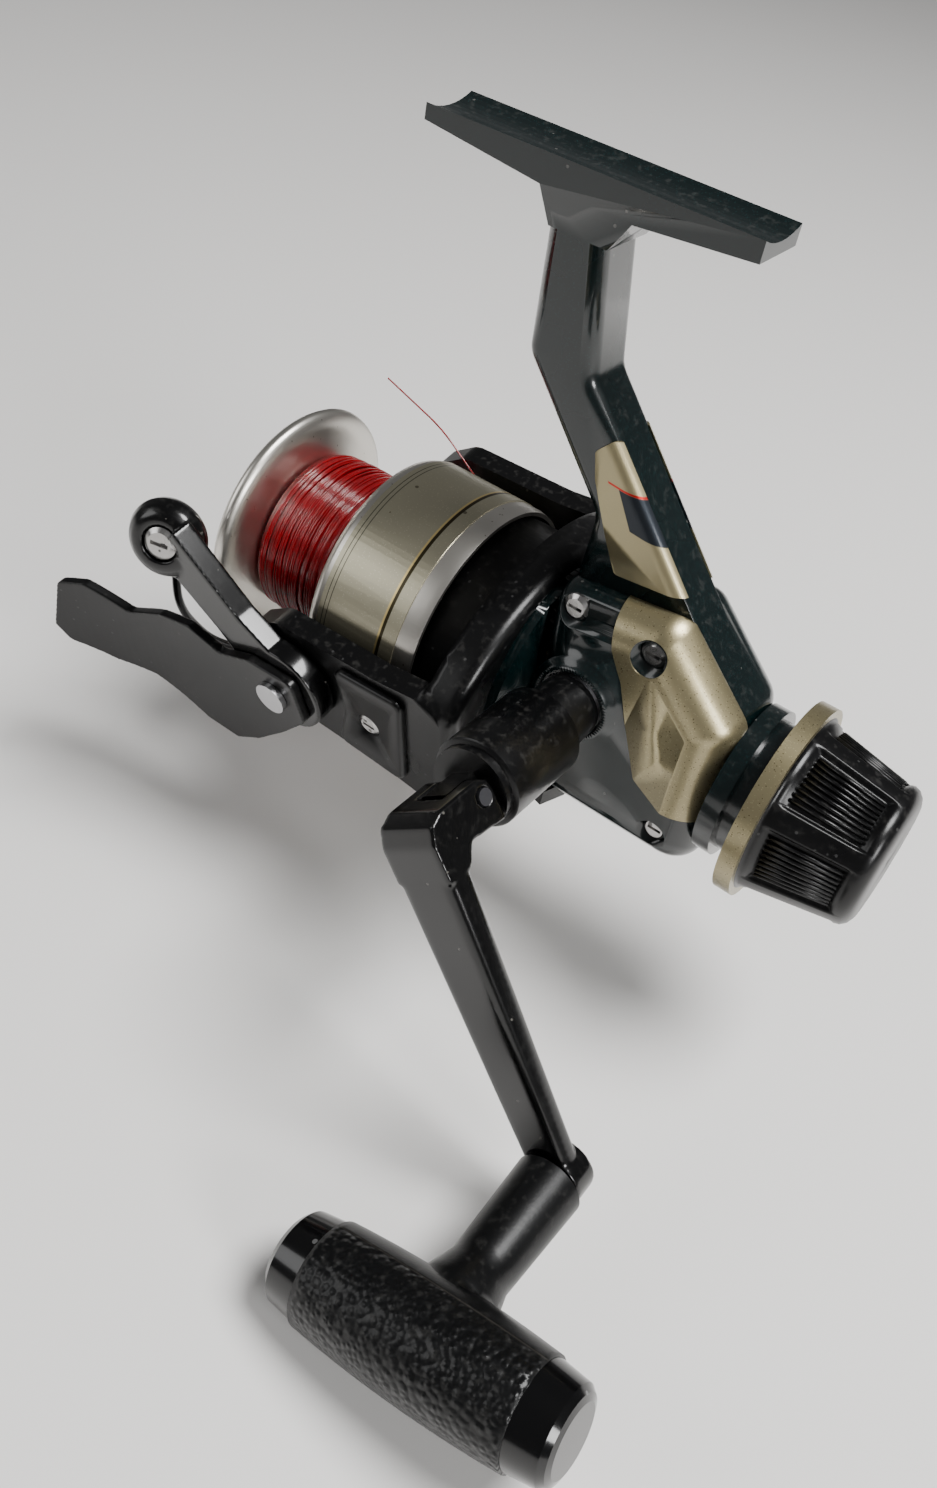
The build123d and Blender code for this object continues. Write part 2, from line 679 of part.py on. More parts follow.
TRIGGER_INNER = ARM_FACE + BAIL_THICKNESS
TRIGGER_THICKNESS = 2.0
trigger_outline = [
    (42.6, -3.0),
    (49.0, -11.0),
    (57.0, -19.6),
    (63.5, -24.4),
    (72.0, -24.6),
    (80.0, -21.8),
    (86.0, -20.0),
    (96.0, -20.6),
    (106.4, -18.4),
    (108.8, -14.0),
    (105.0, 0.0),
    (99.0, 1.6),
    (89.0, -2.0),
    (80.0, 2.6),
    (72.0, 4.6),
    (64.0, 2.4),
    (56.0, 6.0),
    (45.0, 6.6),
]
TRIGGER_FLARE = 76.0
TRIGGER_TIP = 112.0
FLARE_Y = 44.6
flat_top = TRIGGER_INNER + TRIGGER_THICKNESS
flare_top = FLARE_Y + TRIGGER_THICKNESS
with BuildPart() as trigger_lever:
    bend = Plane(origin=station(0, 0, -28.0, ROTOR_TURN), x_dir=FORWARD, z_dir=ROTOR_UP)
    with BuildSketch(bend) as trigger_bend:
        with BuildLine():
            Line((40.0, TRIGGER_INNER), (TRIGGER_FLARE, TRIGGER_INNER))
            TangentArc((TRIGGER_FLARE, TRIGGER_INNER), (TRIGGER_TIP, FLARE_Y), tangent=(1, 0))
            Line((TRIGGER_TIP, FLARE_Y), (TRIGGER_TIP, flare_top))
            TangentArc((TRIGGER_FLARE, flat_top), (TRIGGER_TIP, flare_top), tangent=(1, 0))
            Line((TRIGGER_FLARE, flat_top), (40.0, flat_top))
            Line((40.0, flat_top), (40.0, TRIGGER_INNER))
        make_face()
    extrude(trigger_bend.sketch, amount=40.0)
    slab(trigger_outline, side(20.0, ROTOR_TURN), -40.0, corner=1.8, mode=Mode.INTERSECT)
    tube(ARM_FACE, 60.0, 2.05, at=pivot_spot, along=ROTOR_SIDE, mode=Mode.SUBTRACT)
keep(trigger_lever, "trigger_lever")

roller_top = -BULB_DEPTH - GAP
roller_end = roller_top - 3.4
with BuildPart() as line_roller:
    lathe(
        [
            (roller_end, 1.25),
            (roller_end, 3.6),
            (roller_end + 1.2, 2.8),
            (roller_end + 2.0, 2.8),
            (roller_top, 3.8),
            (roller_top, 1.25),
        ],
        bulb_spot,
        BULB_AXIS,
    )
keep(line_roller, "line_roller")

with BuildPart() as roller_pin:
    tube(roller_end - GAP, -1.0, 1.2, at=bulb_spot, along=BULB_AXIS)
keep(roller_pin, "roller_pin")
screw("roller_screw", [station(*below_bulb(1.0), ROTOR_TURN)], BULB_AXIS, 3.2, 1.3, 0.0)

# ---- Bail wire, far lever and pivots ----
FAR_LEVER_ANGLE = -50.0
far_face = -ARM_FACE
lever_end = (PIVOT_X + 9.0 * cos(radians(FAR_LEVER_ANGLE)), 9.0 * sin(radians(FAR_LEVER_ANGLE)))
BOSS_DEPTH = 2.0
boss_top = roller_end - GAP
wire_stations = [
    below_bulb(BOSS_DEPTH / 2 - boss_top),
    (83.6, 25.6, 13.4),
    (87.0, 27.0, 3.0),
    (88.0, 28.0, -10.0),
    (85.0, 23.0, -24.0),
    (79.0, 10.0, -34.0),
    (75.0, -8.0, -37.0),
    (69.0, -23.0, -31.0),
    (61.0, -31.0, -18.0),
    (lever_end[0], far_face - 1.5, lever_end[1]),
]
wire_points = [station(x, y, z, ROTOR_TURN) for x, y, z in wire_stations]


def corner_radii(points):
    """The largest tangent arc that each corner's runs allow."""
    radii = []
    for before, corner, after in zip(points, points[1:], points[2:]):
        run_in = Vector(*corner) - Vector(*before)
        run_out = Vector(*after) - Vector(*corner)
        half_turn = radians(run_in.get_angle(run_out)) / 2
        radii.append(0.45 * min(run_in.length, run_out.length) / tan(half_turn))
    return radii


def rod(points, radius):
    """A round rod along straight runs joined by tangent arcs."""
    radii = corner_radii(points)
    with BuildLine() as path:
        FilletPolyline(*points, radius=radii)
    route = path.wires()[0]
    with BuildSketch(Plane(origin=route @ 0, z_dir=route % 0)) as section:
        Circle(radius)
    sweep(section.sketch, path=route)
    return radii, route.length


with BuildPart() as bail_wire:
    rod(wire_points, WIRE_RADIUS)
    tube(boss_top - BOSS_DEPTH, boss_top, 2.4, at=bulb_spot, along=BULB_AXIS)
keep(bail_wire, "bail_wire")

with BuildPart() as bail_far_lever:
    tube(far_face - 3.6, far_face, 7.4, at=pivot_spot, along=ROTOR_SIDE)
    lever_spot = station(lever_end[0], 0, lever_end[1], ROTOR_TURN)
    tube(far_face - 3.6, far_face, 3.2, at=lever_spot, along=ROTOR_SIDE)
    tube(far_face - 9, far_face + 1, 2.05, at=pivot_spot, along=ROTOR_SIDE, mode=Mode.SUBTRACT)
keep(bail_far_lever, "bail_far_lever")

for name, hand, top in (
    ("bail_pivot_near", 1, TRIGGER_INNER + TRIGGER_THICKNESS),
    ("bail_pivot_far", -1, -far_face + 3.6),
):
    head = station(PIVOT_X, hand * (top + 0.05), 0, ROTOR_TURN)
    with BuildPart() as bail_pivot:
        tube(hand * (ARM_INNER - 0.2), hand * (top + 0.1), 2.0, at=pivot_spot, along=ROTOR_SIDE)
        tube(hand * (top + 0.1), hand * (top + 1.2), 3.4, at=pivot_spot, along=ROTOR_SIDE)
    keep(bail_pivot, name)

# ---- Spool, winding and its loose end ----
button_bore = 7.2
with BuildPart() as spool:
    lathe(
        [
            (SKIRT_REAR, SKIRT_RADIUS - SKIRT_WALL),
            (SKIRT_REAR, SKIRT_RADIUS - 0.3),
            (SKIRT_REAR + 1.6, SKIRT_RADIUS),
            (SKIRT_FRONT - 0.6, SKIRT_RADIUS),
            (SKIRT_FRONT + 0.8, SKIRT_RADIUS - 0.6),
            (SKIRT_FRONT + 1.4, SKIRT_RADIUS - 2.0),
            (SKIRT_FRONT + 1.6, ARBOR_RADIUS),
            (LIP_X - 3.2, ARBOR_RADIUS),
            (LIP_X - 2.0, LIP_RADIUS - 2.2),
            (LIP_X - 1.0, LIP_RADIUS - 0.3),
            (LIP_X + 0.1, LIP_RADIUS),
            (LIP_X + 1.0, LIP_RADIUS - 0.6),
            (LIP_X + 1.3, LIP_RADIUS - 2.2),
            (LIP_X - 0.4, 17.0),
            (LIP_X - 0.4, 9.4),
            (LIP_X + 2.6, 8.6),
            (LIP_X + 2.6, button_bore),
            (LIP_X - 4.0, button_bore),
            (LIP_X - 4.0, SHAFT_RADIUS + 0.01),
            (SKIRT_FRONT - 8.0, SHAFT_RADIUS + 0.01),
            (SKIRT_FRONT - 8.0, 5.0),
            (SKIRT_FRONT - 1.6, 6.0),
            (SKIRT_FRONT - 1.6, SKIRT_RADIUS - SKIRT_WALL - 1.0),
            (SKIRT_FRONT - 2.6, SKIRT_RADIUS - SKIRT_WALL),
        ]
    )
keep(spool, "spool")

with BuildPart() as spool_band:
    tube(SKIRT_REAR + 4.2, SKIRT_FRONT - 1.4, SKIRT_RADIUS + 0.2, SKIRT_RADIUS)
keep(spool_band, "spool_band")

with BuildPart() as line_winding:
    lathe(
        [
            (SKIRT_FRONT + 1.8, ARBOR_RADIUS),
            (SKIRT_FRONT + 1.8, WINDING_RADIUS),
            (SKIRT_FRONT + 5.0, WINDING_RADIUS + 0.7),
            (LIP_X - 8.0, WINDING_RADIUS + 0.3),
            (LIP_X - 4.4, WINDING_RADIUS - 0.8),
            (LIP_X - 3.4, ARBOR_RADIUS),
        ]
    )
keep(line_winding, "line_winding")

# The line's loose end lies between the skirt and the far rotor arm and springs forward from there
LINE_RADIUS = 0.175
line_stations = [
    (45.0, -26.15, 5.0),
    (49.5, -25.9, 8.2),
    (54.2, -26.2, 12.0),
    (61.0, -27.6, 15.7),
    (69.5, -29.0, 17.3),
    (77.5, -30.4, 18.7),
]
with BuildPart() as line_end:
    line_radii, line_length = rod([station(x, y, z, ROTOR_TURN) for x, y, z in line_stations], LINE_RADIUS)
keep(line_end, "line_end")
print("line end: radii", [round(radius, 1) for radius in line_radii], "length", round(line_length, 1))

with BuildPart() as spool_button:
    lathe(
        [
            (SHAFT_FRONT + 2.3, 0),
            (SHAFT_FRONT + 2.3, 4.4),
            (LIP_X + 0.4, 4.4),
            (LIP_X + 0.4, button_bore - GAP),
            (LIP_X + 4.4, button_bore - GAP),
            (LIP_X + 6.2, button_bore - 1.6),
            (LIP_X + 6.8, 3.0),
            (LIP_X + 6.8, 0),
        ]
    )
keep(spool_button, "spool_button")

# ---- Crank: shank, fold joint, arm and knob ----
with BuildPart() as crank_shank:
    lathe(
        [
            (BOSS_FACE + 1.4, 0),
            (BOSS_FACE + 1.4, 6.2),
            (SHANK_START - 0.8, 6.6),
            (SHANK_START, SHANK_RADIUS),
            (SHANK_END - 0.4, SHANK_RADIUS),
            (SHANK_END, SHANK_RADIUS - 0.4),
            (SHANK_END, 0),
        ],
        CRANK_POINT,
        SIDEWAYS,
    )
keep(crank_shank, "crank_shank")

with BuildPart() as shank_collar:
    tube(SHANK_END, SHANK_END + 1.6, SHANK_RADIUS - 1.0, at=CRANK_POINT, along=SIDEWAYS)
keep(shank_collar, "shank_collar")

fold_axis = (-sin(radians(CRANK_TURN)), 0, cos(radians(CRANK_TURN)))
FOLD_HALF = 6.2
LUG_HALF = 2.6


def crank_side(offset):
    """The plane of the crank arm: its own x runs down the arm, its own y to the handle side."""
    return Plane(
        origin=Vector(*CRANK_POINT) + Vector(*fold_axis) * offset,
        x_dir=ARM_ALONG,
        z_dir=fold_axis,
    )


def crank_section(reach):
    """The plane across the crank arm at a distance down it: its own y runs to the handle side."""
    return Plane(
        origin=Vector(*CRANK_POINT) + Vector(*ARM_ALONG) * reach,
        x_dir=(-fold_axis[0], 0, -fold_axis[2]),
        z_dir=ARM_ALONG,
    )


fold_spot = (CRANK_X, FOLD_Y, SHAFT_Z + CRANK_RISE)
with BuildPart() as hinge_lug:
    lug_outline = [
        (-3.0, SHANK_END + 1.6),
        (5.3, SHANK_END + 1.6),
        (5.3, FOLD_Y + 0.6),
        (3.0, FOLD_Y + 4.3),
        (-3.0, FOLD_Y + 4.3),
    ]
    slab(lug_outline, crank_side(-LUG_HALF), 2 * LUG_HALF)
    tube(-LUG_HALF - 1, LUG_HALF + 1, 1.55, at=fold_spot, along=fold_axis, mode=Mode.SUBTRACT)
keep(hinge_lug, "hinge_lug")

ARM_TOP_Y = FOLD_Y + 14.0
ARM_LOW_Y = FOLD_Y + 8.4
ELBOW_BACK = -3.2
FORK_BOTTOM = SHANK_END + 2.2
FOLD_GAP = 0.35
END_LOW_Y = 59.8
knob_spot = (
    CRANK_X + CRANK_RADIUS * cos(radians(CRANK_TURN)),
    0,
    SHAFT_Z + CRANK_RISE + CRANK_RADIUS * sin(radians(CRANK_TURN)),
)
with BuildPart() as handle_arm:
    with BuildSketch(crank_side(-FOLD_HALF)) as elbow:
        with BuildLine():
            Polyline(
                (0.0, FORK_BOTTOM),
                (5.5, FORK_BOTTOM),
                (4.6, FOLD_Y + 6.0),
                (8.0, ARM_LOW_Y),
                (8.0, ARM_TOP_Y),
                (1.2, ARM_TOP_Y),
                (ELBOW_BACK + 1.3, ARM_TOP_Y - 1.3),
                (ELBOW_BACK, ARM_TOP_Y - 4.4),
                (ELBOW_BACK, FOLD_Y),
                (ELBOW_BACK * 0.7, FOLD_Y + ELBOW_BACK * 0.7),
                close=True,
            )
        make_face()
    extrude(elbow.sketch, amount=2 * FOLD_HALF)
    with BuildSketch(crank_section(7.0)) as section_a:
        with Locations((0, (ARM_LOW_Y + ARM_TOP_Y) / 2)):
            RectangleRounded(2 * FOLD_HALF, ARM_TOP_Y - ARM_LOW_Y, 1.8)
    with BuildSketch(crank_section(CRANK_RADIUS)) as section_b:
        with Locations((0, (END_LOW_Y + STEM_BASE_Y - 0.6) / 2)):
            RectangleRounded(9.6, STEM_BASE_Y - 0.6 - END_LOW_Y, 1.8)
    loft([section_a.sketch, section_b.sketch])
    tube(END_LOW_Y - 1.0, STEM_BASE_Y - 0.6, 5.6, at=knob_spot, along=SIDEWAYS)
    slot = [
        (-9.0, SHANK_END + 1.0),
        (5.3 + FOLD_GAP, SHANK_END + 1.0),
        (5.3 + FOLD_GAP, FOLD_Y + 5.6),
        (-9.0, FOLD_Y + 5.6),
    ]
    slab(slot, crank_side(-LUG_HALF - FOLD_GAP), 2 * (LUG_HALF + FOLD_GAP), mode=Mode.SUBTRACT)
    tube(-FOLD_HALF - 1, FOLD_HALF + 1, 1.55, at=fold_spot, along=fold_axis, mode=Mode.SUBTRACT)
    tube(50.0, STEM_BASE_Y, 2.0, at=knob_spot, along=SIDEWAYS, mode=Mode.SUBTRACT)
keep(handle_arm, "handle_arm")

with BuildPart() as fold_pin:
    tube(-FOLD_HALF - 0.2, FOLD_HALF + 0.2, 1.5, at=fold_spot, along=fold_axis)
keep(fold_pin, "fold_pin")

STEM_RADIUS = 6.1
STEM_TOP_Y = GRIP_Y - GRIP_RADIUS + 1.6
with BuildPart() as knob_spindle:
    tube(END_LOW_Y - 1.4, STEM_TOP_Y - 2.0, 1.95, at=knob_spot, along=SIDEWAYS)
    tube(END_LOW_Y - 2.0, END_LOW_Y - 1.0, 3.2, at=knob_spot, along=SIDEWAYS)
keep(knob_spindle, "knob_spindle")

grip_along = (cos(radians(GRIP_TURN)), 0, sin(radians(GRIP_TURN)))
grip_spot = (knob_spot[0], GRIP_Y, knob_spot[2])
END_RADIUS = 8.7
CAP_LENGTH = 7.0
cap_face = GRIP_HALF_LENGTH - CAP_LENGTH
with BuildPart() as knob_grip:
    with BuildSketch(Plane(origin=grip_spot, x_dir=grip_along, z_dir=(0, -1, 0))) as barrel:
        with BuildLine():
            Line((-cap_face, 0), (-cap_face, END_RADIUS + 0.4))
            ThreePointArc((-cap_face, END_RADIUS + 0.4), (0, GRIP_RADIUS), (cap_face, END_RADIUS + 0.4))
            Line((cap_face, END_RADIUS + 0.4), (cap_face, 0))
            Line((cap_face, 0), (-cap_face, 0))
        make_face()
    revolve(barrel.sketch, axis=Axis(grip_spot, grip_along))
    lathe(
        [
            (STEM_BASE_Y, 0),
            (STEM_BASE_Y, STEM_RADIUS + 0.2),
            (STEM_TOP_Y - 6.0, STEM_RADIUS - 0.5),
            (STEM_TOP_Y, STEM_RADIUS + 1.2),
            (GRIP_Y, STEM_RADIUS + 1.2),
            (GRIP_Y, 0),
        ],
        knob_spot,
        SIDEWAYS,
    )
    tube(STEM_BASE_Y - 1, STEM_TOP_Y - 1.6, 2.0, at=knob_spot, along=SIDEWAYS, mode=Mode.SUBTRACT)
keep(knob_grip, "knob_grip")

for name, hand in (("knob_cap_front", 1), ("knob_cap_rear", -1)):
    with BuildPart() as knob_cap:
        lathe(
            [
                (hand * cap_face, 0),
                (hand * cap_face, END_RADIUS),
                (hand * (GRIP_HALF_LENGTH - 1.4), END_RADIUS - 0.7),
                (hand * (GRIP_HALF_LENGTH - 0.4), END_RADIUS - 1.6),
                (hand * GRIP_HALF_LENGTH, END_RADIUS - 2.8),
                (hand * GRIP_HALF_LENGTH, 0),
            ],
            grip_spot,
            grip_along,
        )
    keep(knob_cap, name)

# ---- Rear drag ----
COLLAR_REAR = HOUSING_REAR - 6.2
with BuildPart() as drag_collar:
    tube(HOUSING_REAR, HOUSING_REAR - 3.4, 15.0, 9.5)
    tube(HOUSING_REAR - 3.4, COLLAR_REAR, 13.2, 9.5)
    tube(HOUSING_REAR, HOUSING_REAR + 3.0, 9.5, 8.4)
keep(drag_collar, "drag_collar")

KEY_REAR = -45.0
with BuildPart() as drag_key:
    tube(HOUSING_REAR + 2.0, KEY_REAR, 3.0, SHAFT_RADIUS + RUNNING_FIT)
    tube(HOUSING_REAR - 0.4, HOUSING_REAR - 2.6, 7.6, 2.9)
keep(drag_key, "drag_key")

with BuildPart() as drag_washers:
    for step in range(3):
        start = HOUSING_REAR - 3.0 - step * 1.2
        tube(start, start - 0.8, 8.2, 3.1)
keep(drag_washers, "drag_washers")

NUT_TRAVEL = 1.0
NUT_FRONT = HOUSING_REAR - 10.7
NUT_WIDTH = 3.0
with BuildPart() as drag_spring:
    tube(HOUSING_REAR - 6.8, NUT_FRONT + NUT_TRAVEL + RUNNING_FIT, 5.6, 3.9)
keep(drag_spring, "drag_spring")

with BuildPart() as drag_nut:
    tube(NUT_FRONT, NUT_FRONT - NUT_WIDTH, 7.4, 3.3)
keep(drag_nut, "drag_nut")

KNOB_FRONT_RADIUS = 16.8
KNOB_REAR_RADIUS = 13.2
knob_front = RING_X - 3.4
with BuildPart() as drag_knob:
    lathe(
        [
            (RING_X, 13.6),
            (RING_X, RING_RADIUS - 1.6),
            (knob_front, RING_RADIUS - 1.6),
            (knob_front, KNOB_FRONT_RADIUS + 0.4),
            (KNOB_REAR + 2.4, KNOB_REAR_RADIUS + 0.8),
            (KNOB_REAR, KNOB_REAR_RADIUS - 1.6),
            (KNOB_REAR, 0),
            (KNOB_REAR + 3.0, 0),
            (KNOB_REAR + 3.0, 7.9),
            (HOUSING_REAR - 9.0, 7.9),
            (HOUSING_REAR - 9.0, 13.6),
        ]
    )
keep(drag_knob, "drag_knob")

with BuildPart() as drag_knob_ring:
    tube(RING_X, knob_front, RING_RADIUS, RING_RADIUS - 1.6)
keep(drag_knob_ring, "drag_knob_ring")

# ---- Anti-reverse lever and pawl ----
lever_spot = station(LEVER_X, LEVER_Y, 0)
under = HOUSING_BOTTOM - GAP
with BuildPart() as anti_reverse_lever:
    tube(under, under - 2.6, 3.4, at=lever_spot, along=UPWARD)
    tab_plane = Plane(origin=station(LEVER_X, LEVER_Y, under - 0.6), x_dir=FORWARD, z_dir=(0, 0, -1))
    with BuildSketch(tab_plane) as tab:
        with BuildLine():
            Polyline((-3.0, 0.0), (3.0, 0.0), (2.2, -6.6), (-0.6, -7.4), close=True)
        make_face()
    extrude(tab.sketch, amount=4.4, taper=8)
    tube(HOUSING_BOTTOM + 3.0, under, 1.2, at=lever_spot, along=UPWARD)
keep(anti_reverse_lever, "anti_reverse_lever")

PAWL_PIVOT = (15.0, 4.0)
with BuildPart() as pawl:
    pawl_x = HOUSING_FRONT + 1.5
    with BuildSketch(across(pawl_x)) as pawl_profile:
        with BuildLine():
            Polyline((15.4, 7.4), (17.4, 4.0), (15.4, 1.8), (10.8, 6.6), (11.4, 8.6), close=True)
        make_face()
    extrude(pawl_profile.sketch, amount=0.8)
    tube(pawl_x - 1.4, pawl_x, 0.9, at=station(0, *PAWL_PIVOT))
keep(pawl, "pawl")
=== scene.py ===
"""A rear-drag spinning reel: its finishes and its detailed pieces, built around the fixed frame."""

import json
import math

import bmesh
import bpy
from mathutils import Euler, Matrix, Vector


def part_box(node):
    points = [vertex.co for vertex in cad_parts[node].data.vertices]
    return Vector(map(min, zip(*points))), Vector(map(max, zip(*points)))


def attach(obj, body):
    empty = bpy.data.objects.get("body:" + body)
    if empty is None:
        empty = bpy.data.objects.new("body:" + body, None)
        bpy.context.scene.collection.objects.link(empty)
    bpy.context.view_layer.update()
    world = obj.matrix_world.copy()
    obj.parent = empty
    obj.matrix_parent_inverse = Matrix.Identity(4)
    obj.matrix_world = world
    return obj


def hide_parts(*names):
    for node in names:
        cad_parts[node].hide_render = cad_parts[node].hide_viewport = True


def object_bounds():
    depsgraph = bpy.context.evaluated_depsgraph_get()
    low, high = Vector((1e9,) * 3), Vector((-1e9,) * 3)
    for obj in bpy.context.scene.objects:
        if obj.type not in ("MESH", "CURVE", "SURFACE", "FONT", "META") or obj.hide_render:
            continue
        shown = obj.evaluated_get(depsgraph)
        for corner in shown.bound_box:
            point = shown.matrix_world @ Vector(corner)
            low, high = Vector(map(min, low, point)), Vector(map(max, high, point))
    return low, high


bl_info = {
    "name": "Spinning Reel",
    "version": (1, 0, 0),
    "blender": (4, 5, 0),
    "location": "View3D > Sidebar > Reel",
    "description": "Builds the finishes and the detailed pieces of a spinning reel",
    "category": "Object",
}

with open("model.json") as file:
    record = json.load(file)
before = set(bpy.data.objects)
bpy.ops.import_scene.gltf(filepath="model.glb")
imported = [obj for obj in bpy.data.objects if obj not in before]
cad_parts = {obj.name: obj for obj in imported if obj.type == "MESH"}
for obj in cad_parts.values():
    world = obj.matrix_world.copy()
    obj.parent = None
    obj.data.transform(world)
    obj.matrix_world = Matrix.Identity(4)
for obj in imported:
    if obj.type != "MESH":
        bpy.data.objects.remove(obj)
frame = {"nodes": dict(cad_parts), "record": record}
CAD_BOX = [list(corner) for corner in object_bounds()]

# ---- Stage ----
CAMERA_PLACE = (-0.097887, 0.184736, 0.065996)
CAMERA_TURN = (47.921, -9.117, -143.623)
CAMERA_LENS = 31.88
CAMERA_SHIFT = (-0.00466, -0.00372)
FLOOR_HALF = 4.0
FLOOR_GAP = 0.0006
LIGHT_TARGET = Vector((-0.01, 0.02, -0.07))
LAMPS = (
    # name, place, size, power
    ("overhead", (-0.42, -0.10, 0.80), 0.50, 17.0),
    ("window", (-0.85, 0.35, 0.30), 0.30, 5.0),
    ("fill", (0.55, 0.55, 0.30), 0.50, 1.6),
)
ROOM_COLOUR = (0.86, 0.86, 0.87, 1)
ROOM_STRENGTH = 0.14

# ---- Loose line: stations in millimetres that turn with the rotor ----
LINE_STATIONS = (
    (45.0, -26.15, 5.0),
    (49.5, -25.9, 8.2),
    (54.2, -26.2, 12.0),
    (61.0, -27.6, 15.7),
    (69.5, -29.0, 17.3),
    (77.5, -30.4, 18.7),
)

# ---- Places, from the frame ----
MM = 0.001


def middle(node):
    """The middle of a node's box."""
    low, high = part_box(node)
    return (Vector(low) + Vector(high)) / 2


SHAFT = Vector((0, 0, middle("main_shaft").z))
CRANK = Vector((middle("crank_shank").x, 0, middle("crank_shank").z))
WIND_LOW, WIND_HIGH = (Vector(corner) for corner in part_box("line_winding"))
KNOB_LOW = Vector(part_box("drag_knob")[0])
RING_LOW, RING_HIGH = (Vector(corner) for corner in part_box("drag_knob_ring"))
ROTOR_TURN = math.radians(-14.0)


def at_rotor(x, y, z):
    """A point in metres from a station in millimetres that turns with the rotor."""
    side = y * math.cos(ROTOR_TURN) - z * math.sin(ROTOR_TURN)
    up = y * math.sin(ROTOR_TURN) + z * math.cos(ROTOR_TURN)
    return (CRANK.x + x * MM, side * MM, SHAFT.z + up * MM)


# ---- Properties ----
class ReelSizes(bpy.types.PropertyGroup):
    """Sizes that a user would change."""

    wrap_pitch: bpy.props.FloatProperty(
        name="Wrap pitch", description="Distance between wraps", default=0.00029, unit="LENGTH"
    )
    wrap_size: bpy.props.FloatProperty(
        name="Wrap size", description="Radius of a wrap of line", default=0.00019, unit="LENGTH"
    )
    wrap_lean: bpy.props.FloatProperty(
        name="Wrap lean", description="How far wraps lean", default=math.radians(2.2), subtype="ANGLE"
    )
    knob_panels: bpy.props.IntProperty(
        name="Knob panels", description="Recessed panels round the drag knob", default=6
    )
    panel_ribs: bpy.props.IntProperty(
        name="Panel ribs", description="Ribs in each panel", default=9
    )
    panel_depth: bpy.props.FloatProperty(
        name="Panel depth", description="Depth of a knob panel", default=0.0011, unit="LENGTH"
    )
    cord_size: bpy.props.FloatProperty(
        name="Line end size", description="Diameter of the loose line", default=0.00035, unit="LENGTH"
    )


def colour_property(name, default):
    """A colour input for the panel."""
    return bpy.props.FloatVectorProperty(
        name=name, description=name + " colour", subtype="COLOR", size=3, min=0, max=1, default=default
    )


class ReelColours(bpy.types.PropertyGroup):
    """Colours that a user would change."""

    paint: colour_property("Body paint", (0.001, 0.0048, 0.005))
    gold: colour_property("Plate", (0.33, 0.285, 0.165))
    slate: colour_property("Slate mark", (0.02, 0.024, 0.03))
    satin: colour_property("Satin black", (0.0020, 0.0020, 0.0022))
    line: colour_property("Line", (0.30, 0.001, 0.006))
    floor: colour_property("Floor", (0.80, 0.785, 0.765))


# ---- Shader node groups ----
def new_group(name, inputs, outputs):
    """An empty shader node group with float inputs and named outputs."""
    group = bpy.data.node_groups.new(name, "ShaderNodeTree")
    for label, value in inputs:
        socket = group.interface.new_socket(label, in_out="INPUT", socket_type="NodeSocketFloat")
        socket.default_value = value
    for label, kind in outputs:
        group.interface.new_socket(label, in_out="OUTPUT", socket_type=kind)
    return group, group.nodes.new("NodeGroupInput"), group.nodes.new("NodeGroupOutput")


def math_node(tree, operation, first, second=None):
    """A math node fed by sockets or by numbers."""
    node = tree.nodes.new("ShaderNodeMath")
    node.operation = operation
    for socket, value in zip(node.inputs, (first, second)):
        if isinstance(value, (int, float)):
            socket.default_value = value
        elif value is not None:
            tree.links.new(value, socket)
    return node.outputs[0]


def smooth_step(tree, value, low, high):
    """A value that goes from 0 at low to 1 at high."""
    node = tree.nodes.new("ShaderNodeMapRange")
    node.interpolation_type = "SMOOTHSTEP"
    node.inputs["From Min"].default_value = low
    node.inputs["From Max"].default_value = high
    tree.links.new(value, node.inputs["Value"])
    return node.outputs["Result"]


def grain_group():
    """Fine grain as a height, and a broad cloud that roughness follows."""
    outputs = [("Height", "NodeSocketFloat"), ("Cloud", "NodeSocketFloat")]
    group, given, made = new_group("Grain", [("Scale", 900.0), ("Cloud Scale", 60.0)], outputs)
    where = group.nodes.new("ShaderNodeTexCoord")
    fine = group.nodes.new("ShaderNodeTexNoise")
    cloud = group.nodes.new("ShaderNodeTexNoise")
    fine.inputs["Detail"].default_value = 4.0
    for noise, label in ((fine, "Scale"), (cloud, "Cloud Scale")):
        group.links.new(where.outputs["Object"], noise.inputs["Vector"])
        group.links.new(given.outputs[label], noise.inputs["Scale"])
    group.links.new(fine.outputs["Fac"], made.inputs["Height"])
    group.links.new(cloud.outputs["Fac"], made.inputs["Cloud"])


SPECK_REACH = 0.42


def speck_group():
    """Scattered specks, as of metal flake, chips or dust grains: a mask."""
    inputs = [("Scale", 2500.0), ("Share", 0.1)]
    group, given, made = new_group("Specks", inputs, [("Mask", "NodeSocketFloat")])
    where = group.nodes.new("ShaderNodeTexCoord")
    cells = group.nodes.new("ShaderNodeTexVoronoi")
    group.links.new(where.outputs["Object"], cells.inputs["Vector"])
    group.links.new(given.outputs["Scale"], cells.inputs["Scale"])
    value = group.nodes.new("ShaderNodeSeparateColor")
    group.links.new(cells.outputs["Color"], value.inputs["Color"])
    chosen = math_node(group, "LESS_THAN", value.outputs["Red"], given.outputs["Share"])
    core = math_node(group, "LESS_THAN", cells.outputs["Distance"], SPECK_REACH)
    group.links.new(math_node(group, "MULTIPLY", chosen, core), made.inputs["Mask"])


